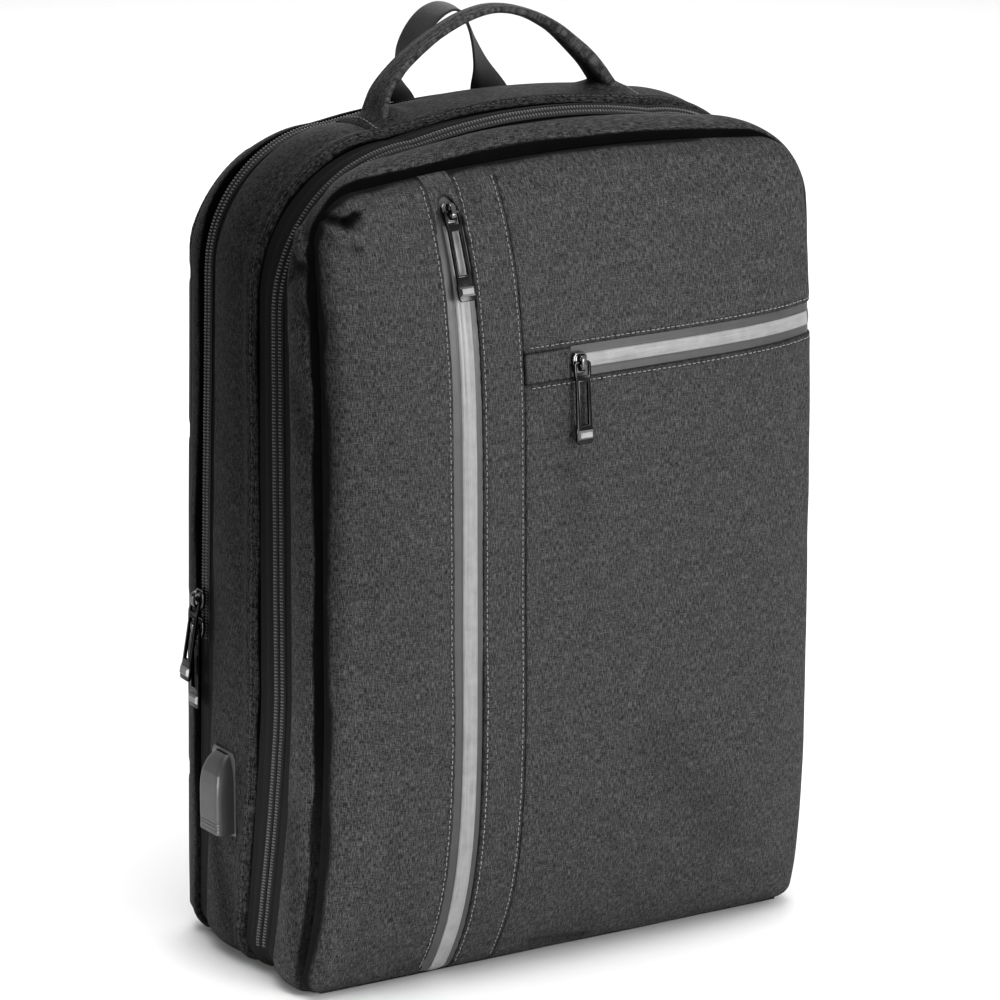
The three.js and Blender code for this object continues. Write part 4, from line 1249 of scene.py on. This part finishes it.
def back_panel():
    """Padded back in air mesh: two pads side by side, quilted across."""
    half = LINES["half"][3] * WIDTH / 2
    radius = LINES["top_radius"][3]
    angles = np.linspace(0, np.pi / 2, 20)[1:]
    side = np.concatenate([np.linspace(0, half - radius, 36), half - radius + radius * np.sin(angles)])
    xs = np.concatenate([-side[:0:-1], side])
    low, high = (edge[:, None] for edge in edges_of(3, 0, xs))
    z = lerp(low, high, crowded(180, 0.6)[None])
    x = np.broadcast_to(xs[:, None], z.shape)
    to_edge = np.minimum(half - np.abs(x), np.minimum(z - low, high - z))
    puff = BACK_THICK - (BACK_THICK - PAD_EDGE["thick"]) * rolled(to_edge, PAD_EDGE["reach"])
    for middle, width, depth in BACK_CHANNELS:
        puff = puff - depth * hollow(np.maximum(0, np.abs(x - middle) - width / 2), 3)
    for level in BACK_CROSS:
        line = z - level - CROSS["sag"] * np.cos(x / CROSS["spread"])
        puff = puff - CROSS["depth"] * hollow(line, CROSS["width"])
    puff = np.maximum(PAD_EDGE["least"], puff + 0.5 * ripple(x, z, 40, 51))
    ground = line_y(3, x, z) + GAP
    shape = shell(np.stack([x, ground + puff, z], -1), np.stack([x, ground, z], -1))
    made = piece("back_padding", shape, "mesh", "back_panel", weave=doubled(x, z))


def back_piping():
    """Round piping along the back's edge, kept clear of the ground."""
    line, outs = skin_line(DEPTH, lambda depth, way: PIPING["sunk"] + 0 * way)
    line[:, 2] = np.maximum(line[:, 2], PIPING["least"])
    across = np.cross(outs, unit(np.gradient(line, axis=0)))
    ring = squarish(PIPING["radius"], PIPING["radius"], 2, 10)
    sweep("back_piping", (line, across, outs, ROUND_LENGTH), ring, "binding")


def base_panel():
    """Cloth base, with its edge turned up to the gussets."""
    positions = np.linspace(0, 3, 50)
    foot = skin(positions[:, None], 0.0 * ROUND_LENGTH[None])[:, 0]
    half = -foot[:, :1]
    x = half * np.linspace(-1, 1, 110)[None]
    front, rear = face_y(x, 0 * x) + 3, foot[-1, 1]
    y = lerp(front, rear, (foot[:, 1:2] - foot[0, 1]) / (rear - foot[0, 1]))
    to_edge = np.minimum(half - np.abs(x), np.minimum(y - front, rear - y))
    z = 0.2 + 1.6 * rolled(to_edge, 5) + 0.15 * (1 + ripple(x, y, 30, 61))
    shape = shell(np.stack([x, y, z], -1), np.stack([x, y, z + 1.6], -1))
    piece("base_cloth", shape, "side", "base_panel", weave=doubled(x, y))


STRAP = {"half": 31, "thick": 11, "corner": 3.4, "quilt": 0.72, "end": 12}
TAPER = {"from": 0.75, "rate": 1.4}


def strap_run(path, sign, count):
    def at(row):
        across, out, up = row
        x, z = across * WIDTH / 2, up * HEIGHT
        return (sign * x, float(line_y(3, x, z)) + GAP + BACK_THICK + out, z)

    places, along, where = smooth_path([at(row) for row in path], count)
    wide = unit(np.array([1.0, 0, 0]) - along * along[:, :1])
    return places, wide, np.cross(along, wide), where


def strap_pad(side, run, taper):
    """Padded strap in air mesh: thin at its ends, with a line of quilting near each edge."""
    where = run[3]
    outline = squarish(1, 1, STRAP["corner"], 56)
    quilt = 0.18 * hollow(np.abs(outline[:, 0]) - STRAP["quilt"], 0.06)
    sections = []
    for way, share in zip(where, taper):
        ends = 1 - 0.55 * rolled(np.minimum(way, where[-1] - way), STRAP["end"])
        u = outline[:, 0] * STRAP["half"] * share
        v = outline[:, 1] * (STRAP["thick"] / 2 * ends) * (1 - quilt)
        sections.append(np.stack([u, v], -1))
    pad = sweep("strap_pad_" + side, run, np.array(sections), "mesh", "shoulder_strap_" + side)


def strap_piping(side, run, taper):
    at, wide, deep, where = run
    ring = squarish(1.7, 1.9, 2, 10)
    centres = [at + wide * (edge * (STRAP["half"] - 0.4) * taper)[:, None] for edge in (-1, 1)]
    piece("strap_piping_" + side, joined([along_run((c, wide, deep), ring) for c in centres]), "binding")


def straps():
    for side, sign in (("left", -1), ("right", 1)):
        run = strap_run(STRAP_PATHS["strap"], sign, 120)
        taper = 1 - TAPER["rate"] * np.maximum(0, np.linspace(0, 1, len(run[0])) - TAPER["from"])
        strap_pad(side, run, taper)
        strap_piping(side, run, taper)
        run = strap_run(STRAP_PATHS["webbing"], sign, 40)
        sweep("strap_tape_" + side, run, squarish(12.5, 0.8, 8, 40), "webbing", "strap_webbing_" + side)
        run = strap_run(STRAP_PATHS["anchor"], sign, 16)
        sweep("strap_foot_" + side, run, squarish(16, 1.5, 5, 40), "side", "strap_anchor_" + side)
        ladder_lock(side, sign)


def ladder_lock(side, sign):
    """Adjuster: a frame with two slots and a bar between them."""
    at, wide, deep, where = strap_run(STRAP_PATHS["adjuster"], sign, 2)
    length = where[-1]
    left = [(-17, 0), (-17, length * 0.8), (-14, length)]
    outline = mirrored(left)
    holes = [box_outline(-13, 13, 2.2, 4.2), box_outline(-13, 13, 6.6, 8.8)]
    points, faces = plate(outline, holes, -2.5, 2.5, 0.7)
    points = np.array(points) - [0, length / 2, 0]
    along = unit(at[1] - at[0])
    moved = at.mean(0) + points[:, :1] * wide[0] + points[:, 1:2] * along + points[:, 2:] * deep[0]
    piece("ladder_lock_" + side, (moved, faces), "plastic", "strap_adjuster_" + side)


# Fittings


def box_outline(x0, x1, y0, y1):
    return [(x0, y0), (x1, y0), (x1, y1), (x0, y1)]


def plate(outline, holes, low, high, bevel, segments=2):
    """Flat plate with holes and rounded edges: points and faces."""
    made = bmesh.new()
    edges = []
    for ring in [outline, *holes]:
        corners = [made.verts.new((x, y, low)) for x, y in ring]
        edges += [made.edges.new((corners[i], corners[(i + 1) % len(corners)])) for i in range(len(corners))]
    bmesh.ops.triangle_fill(made, edges=edges, use_beauty=True)
    bmesh.ops.dissolve_limit(made, angle_limit=0.01, verts=made.verts, edges=made.edges)
    pushed = bmesh.ops.extrude_face_region(made, geom=made.faces[:])
    moved = [v for v in pushed["geom"] if isinstance(v, bmesh.types.BMVert)]
    bmesh.ops.translate(made, verts=moved, vec=(0, 0, high - low))
    bmesh.ops.recalc_face_normals(made, faces=made.faces)
    rims = [e for e in made.edges if len(e.link_faces) == 2 and e.calc_face_angle() > math.radians(30)]
    bmesh.ops.bevel(made, geom=rims, offset=bevel, segments=segments, affect="EDGES", profile=0.6)
    made.verts.ensure_lookup_table()
    for i, v in enumerate(made.verts):
        v.index = i
    points = np.array([v.co[:] for v in made.verts])
    faces = [[v.index for v in f.verts] for f in made.faces]
    made.free()
    return points, faces


def strip_along(path, half_wide, thick):
    """Bar of even width that follows a path in the Y-Z plane."""
    at, along, where = smooth_path([(0, y, z) for y, z in path], 26)
    wide = np.tile([1.0, 0, 0], (len(at), 1))
    return along_run((at, wide, np.cross(wide, along)), squarish(half_wide, thick / 2, 4, 16))


def mirrored(right):
    """Closed outline from its right half."""
    return right + [(-x, y) for x, y in reversed(right)]


def slider_shape():
    """Zip slider seen from above: a shield-shaped body, its rim, and the bridge that holds the puller."""
    half, ahead, behind, thick = (SLIDER[key] for key in ("width", "ahead", "behind", "thick"))
    half = half / 2
    body = [(-half * 0.62, -ahead), (half * 0.62, -ahead), (half, -ahead * 0.62), (half, ahead * 0.3)]
    body += [(half * 0.72, behind * 0.8), (half * 0.5, behind), (-half * 0.5, behind)]
    body += [(-half * 0.72, behind * 0.8), (-half, ahead * 0.3), (-half, -ahead * 0.62)]
    deck = [(x * 0.72, y * 0.78) for x, y in body]
    end = BRIDGE["length"] / 2
    top = HINGE_UP + BRIDGE["window"] / 2 + BRIDGE["bar"] / 2
    rise = [(-end + 0.6, thick * 0.6), (-end + 0.3, thick + 1.2), (-end + 1.4, top - 0.4)]
    path = rise + [(0, top)] + [(-y, z) for y, z in reversed(rise)]
    return joined([
        plate(body, [], 0, thick, 0.7, 3),
        plate(deck, [], thick * 0.6, thick + 0.35, 0.3),
        strip_along(path, BRIDGE["width"] / 2, BRIDGE["bar"]),
    ])


PULLER = {"thick": 1.6, "tail": 8, "neck": 2.2, "slot": 26.5}


def puller_shape(length, width):
    """Puller along +Y with its cross bar on the origin's X axis, and its end facet, which takes a lighter
    metal as a painted highlight.
    """
    half, flat, tail, neck = width / 2, PULLER["thick"] / 2, PULLER["tail"], PULLER["neck"]
    eye_end = BRIDGE["length"] / 2 + 2.6
    tail_at = length - tail
    right = [(half - 1.2, -flat), (half, 0.4), (half, eye_end - 1), (half * 0.86, eye_end + neck)]
    right += [(half * 0.92, tail_at - 1), (half * 1.05, tail_at + 0.6), (half * 1.05, length - 1.6)]
    right += [(half * 0.8, length)]
    eye = box_outline(1.5 - half, half - 1.5, flat, eye_end)
    slot_half = BRIDGE["width"] / 2 + 0.9
    slot_end = min(eye_end + PULLER["slot"], tail_at - neck)
    slot = box_outline(-slot_half, slot_half, eye_end + 3.5, slot_end)
    around = box_outline(-slot_half - 0.9, slot_half + 0.9, eye_end + 2.4, slot_end + 1)
    body = plate(mirrored(right), [eye, slot], -flat, flat, 0.4)
    rim = plate([(x * 0.98, y) for x, y in around], [slot], 0, flat + 0.3, 0.2)
    centre = length - tail * 0.62
    base, top = (half * 0.94, tail * 0.3), (half * 0.7, tail * 0.17)
    levels = ((base, 0), (base, flat + 0.25), (top, flat + 1.3))
    block = [
        [(x, centre + y, z) for x, y in ((-a, -b), (a, -b), (a, b), (-a, b))]
        for (a, b), z in levels
    ]
    return joined([body, rim]), tube(np.array(block))


def framed(points, at, along, out):
    """Local points to the body's frame: Y along the pull, Z outwards."""
    along, out = np.array(along, float), np.array(out, float)
    across = unit(np.cross(along, out))
    return np.asarray(at) + points @ np.stack([across, unit(np.cross(out, across)), unit(out)])


def tilted(points, degrees):
    """Turned about X, then lifted to the hinge's height."""
    turn = np.array(Matrix.Rotation(math.radians(degrees), 3, "X"))
    return points @ turn.T + [0, 0, HINGE_UP]


def put_pull(name, at, along, out, length, width, lift, body=None):
    """Slider and puller. The puller is a body of its own unless it is given one."""
    points, faces = slider_shape()
    shape = (framed(points, at, along, out), faces)
    piece(name + "_slider_metal", shape, "slider", name + "_slider", weave=points)
    carried = body or name + "_puller_body"
    node = None if body else name + "_puller"
    # The facet takes the lighter metal, a painted highlight
    parts = (("_puller_metal", "gunmetal", node, SHARP), ("_puller_facet_painted_highlight", "bright", None, math.radians(20)))
    for (suffix, look, node, sharp), (points, faces) in zip(parts, puller_shape(length, width)):
        shape = (framed(tilted(points, lift), at, along, out), faces)
        piece(name + suffix, shape, look, node, carried, weave=points, sharp=sharp)


# Places of the pullers: length, width and how far they stand off, in degrees, at rest
FRONT_PULLS = {"upright_zip": (47, 9.6, -6), "level_zip": (43, 10, 0)}
REAR_PULLS = (("rear_zip_upper", 26.4, 8), ("rear_zip_lower", 10.4, 0))
REAR_PULL_SIZE = (45, 9.6)
MAIN_PULL = {"z": 250, "size": (40, 9, -5)}


def pulls():
    u, level = UPRIGHT_ZIP, LEVEL_ZIP
    seat = SLIDER["on_tape"] - TAPE_SUNK
    u_top = float(edges_of(0, CLOTH + 0.8, np.array(u["x"]))[1])
    places = {
        "upright_zip": (u["x"], u_top - 17),
        "level_zip": (SEAM_X + level["tab"] + 3.8, level["z"]),
    }
    for name, (x, z) in places.items():
        out = outward(face_y, x, z, 1)
        at = np.array([x, float(face_y(x, z)), z]) + seat * out
        put_pull(name, at, (0, 0, -1), out, *FRONT_PULLS[name])
    out_by = CHAIN["clear"] + CHAIN["thick"] - REAR_ZIP["sunk"] + SLIDER["on_chain"]
    half = float(values_at(np.array(2.0))["half"])
    step = 10
    for name, above, lift in REAR_PULLS:
        z = REAR_ZIP["end"] + above
        run = float(line_y(2, 0, z - step) - line_y(2, 0, z))
        at = (-half - out_by, float(line_y(2, half, z)), z)
        put_pull(name, at, (0, run, -step), (-1, 0, 0), *REAR_PULL_SIZE, lift)
    half = float(values_at(np.array(1.0))["half"])
    at = (half + out_by, float(line_y(1, half, MAIN_PULL["z"])), MAIN_PULL["z"])
    put_pull("main_zip", at, (0, 0, -1), (1, 0, 0), *MAIN_PULL["size"], "bag")


# Hood: how far it stands out, as a share, at shares of its height; its grooves; its inside and its flange
HOOD_UP = (0, 0.5, 0.62, 0.76, 0.88, 0.96, 1)
HOOD_OUT = (1, 1, 0.975, 0.89, 0.71, 0.5, 0.26)
HOOD_GROOVES = {"at": (2.6, 4.4, 6.2), "depth": 0.32, "width": 0.45}
HOOD = {"corner": 3.2, "inner_corner": 2, "inner_foot": 0.2, "roof": 18, "narrow": 0.42}
FLANGE = {"beyond": 1.5, "thick": 1.2, "bevel": 0.45}


def hood_ring(half, stand, corner, foot=0.0):
    """Section of the hood at one height, from one foot on the side round to the other."""
    angles = np.linspace(0, np.pi / 2, 9)
    c = min(corner, stand * 0.8)
    side_y = half - c + c * np.cos(angles)
    side_x = stand - c + c * np.sin(angles)
    low = (stand - c) * 0.6
    front = np.linspace(half - c, c - half, 9)[1:-1]
    ys = np.concatenate([[half, half], side_y[1:], front, -side_y[::-1][:-1], [-half, -half]])
    flat = np.full(len(front), stand)
    xs = np.concatenate([[foot, low], side_x[1:], flat, side_x[::-1][:-1], [low, foot]])
    return xs, ys


def port_hood():
    """Satin hood over the charging socket: rounded edges, sloped top, fine grooves, open below."""
    depth, width, height, out, wall = (PORT[k] for k in ("depth", "width", "height", "out", "wall"))
    y = depth - DEPTH / 2
    depths = [depth + share * (width + 3) for share in (-0.5, 0, 0.5)]
    face = max(float(values_at(np.array(position_of(d)))["half"]) for d in depths) + GAP
    foot = PORT["z"] - height / 2
    up = np.concatenate([np.linspace(0, 0.66, 60), np.linspace(0.67, 1, 30)])
    stand = np.interp(up, HOOD_UP, HOOD_OUT) * out
    for groove in HOOD_GROOVES["at"]:
        stand = stand - HOOD_GROOVES["depth"] * hollow(up * height - groove, HOOD_GROOVES["width"])
    narrow = 1 - HOOD["narrow"] * np.clip((up - 0.5) / 0.5, 0, 1) ** 3

    def level(ring, share):
        xs, ys = ring
        return np.stack([-(face + xs), y + ys, np.full_like(xs, foot + share * height)], -1)

    rows = zip(up, stand, narrow)
    outer = [level(hood_ring(width / 2 * k, s, HOOD["corner"]), share) for share, s, k in rows]
    inside = hood_ring(width / 2 - wall, out - wall, HOOD["inner_corner"], HOOD["inner_foot"])
    inner = [level(inside, min(share, HOOD["roof"] / height)) for share in up]
    points, faces = shell(np.array(outer), np.array(inner))
    half, beyond = width / 2 + FLANGE["beyond"], FLANGE["beyond"]
    ring = [(-1, -beyond), (1, -beyond), (1, height - 2), (0.8, height + beyond)]
    ring += [(-0.8, height + beyond), (-1, height - 2)]
    outline = [(y + a * half, foot + b) for a, b in ring]
    flat, flat_faces = plate(outline, [], 0, FLANGE["thick"], FLANGE["bevel"])
    flat = np.stack([-(face + flat[:, 2]), flat[:, 0], flat[:, 1]], -1)
    shape = joined([(points, faces.tolist()), (flat, flat_faces)])
    piece("port_hood_shell", shape, "plastic", "port_hood")


def dress_cad_nodes():
    """Metal for the solids of the frame that stay in view."""
    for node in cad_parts.values():
        mesh = node.data
        if node.hide_render:
            continue
        mesh.materials.clear()
        mesh.materials.append(SOCKET_METAL)
        places = np.zeros(len(mesh.vertices) * 3, np.float32)
        mesh.vertices.foreach_get("co", places)
        layer = mesh.attributes.get("weave") or mesh.attributes.new("weave", "FLOAT_VECTOR", "POINT")
        layer.data.foreach_set("vector", places)


# Studio

CAMERA = {"azimuth": -31.5, "elevation": 16, "lens": 234, "distance": 3.471, "target": (-0.0035, 0, 0.240)}
# Soft lights: azimuth, elevation, distance, size, power, height aimed at, and how wide the beam opens
LIGHTS = (
    ("key", 12, 10, 1.9, 0.9, 23, 0.2, 180),
    ("top", -40, 76, 2.2, 1.4, 28, 0.24, 180),
    ("back", 150, 32, 2.4, 1.8, 14, 0.24, 180),
    ("low", -84, -13, 0.9, 0.3, 0.42, 0.01, 34),
)
WORLD = {"bright": 0.95, "dark": 0.03, "towards": (-1, -0.15, 0), "from": 0, "to": 0.6}
FLOOR_TONE = 0.86
FLOOR_HALF = 8


def direction(azimuth, elevation):
    a, e = math.radians(azimuth), math.radians(elevation)
    return Vector((math.sin(a) * math.cos(e), -math.cos(a) * math.cos(e), math.sin(e)))


def put_camera(scene, target):
    camera = bpy.data.objects.new("camera", bpy.data.cameras.new("camera"))
    camera.data.lens = CAMERA["lens"]
    camera.data.sensor_width = 36
    back = direction(CAMERA["azimuth"], CAMERA["elevation"])
    camera.location = target + back * CAMERA["distance"]
    camera.rotation_euler = (-back).to_track_quat("-Z", "Y").to_euler()
    camera.data.clip_start, camera.data.clip_end = 0.05, 60
    scene.collection.objects.link(camera)
    scene.camera = camera


def put_lights(scene, target):
    for name, azimuth, elevation, distance, size, power, aim, spread in LIGHTS:
        light = bpy.data.lights.new(name, "AREA")
        light.shape = "DISK"
        light.size = size
        light.energy = power
        light.spread = math.radians(spread)
        lamp = bpy.data.objects.new(name, light)
        lamp.location = target + direction(azimuth, elevation) * distance
        beam = Vector((target.x, target.y, aim)) - lamp.location
        lamp.rotation_euler = beam.to_track_quat("-Z", "Y").to_euler()
        scene.collection.objects.link(lamp)


def put_world(scene):
    """Pale surroundings that darken towards the left."""
    world = bpy.data.worlds.new("studio")
    world.use_nodes = True
    tree = world.node_tree
    background = tree.nodes["Background"]
    background.inputs["Color"].default_value = grey(1)
    coords = tree.nodes.new("ShaderNodeTexCoord")
    dot = tree.nodes.new("ShaderNodeVectorMath")
    dot.operation = "DOT_PRODUCT"
    dot.inputs[1].default_value = WORLD["towards"]
    fade = tree.nodes.new("ShaderNodeMapRange")
    ends = {"From Min": "from", "From Max": "to", "To Min": "bright", "To Max": "dark"}
    for socket, key in ends.items():
        fade.inputs[socket].default_value = WORLD[key]
    tree.links.new(coords.outputs["Generated"], dot.inputs[0])
    tree.links.new(dot.outputs["Value"], fade.inputs["Value"])
    tree.links.new(fade.outputs[0], background.inputs["Strength"])
    scene.world = world


def put_floor(scene):
    n = Nodes("pale_floor")
    coords = n.add("ShaderNodeTexCoord").outputs["Object"]
    tone = n.even(n.noise(3.0, at=coords), 0.98, 1.0)
    colour = n.mix(tone, grey(FLOOR_TONE * 0.97), grey(FLOOR_TONE))
    mesh = bpy.data.meshes.new("floor")
    corners = [(-1, -1), (1, -1), (1, 1), (-1, 1)]
    mesh.from_pydata([(x * FLOOR_HALF, y * FLOOR_HALF, 0) for x, y in corners], [], [(0, 1, 2, 3)])
    mesh.materials.append(n.finish(colour, 0.9, 0.1))
    floor = bpy.data.objects.new("floor", mesh)
    scene.collection.objects.link(floor)


def studio():
    scene = bpy.context.scene
    scene.view_settings.view_transform = "Standard"
    scene.view_settings.look = "Medium High Contrast"
    target = Vector(CAMERA["target"])
    put_camera(scene, target)
    put_lights(scene, target)
    put_world(scene)
    put_floor(scene)


front_panels()
upright_zip()
level_zip()
body_bands()
zip_chain("main_chain", MAIN_ZIP, "main_zip_chain")
zip_chain("rear_chain", REAR_ZIP, "rear_zip_chain")
stitching()
handle_patch()
handle()
hang_loop()
back_panel()
back_piping()
base_panel()
straps()
pulls()
port_hood()
dress_cad_nodes()
studio()
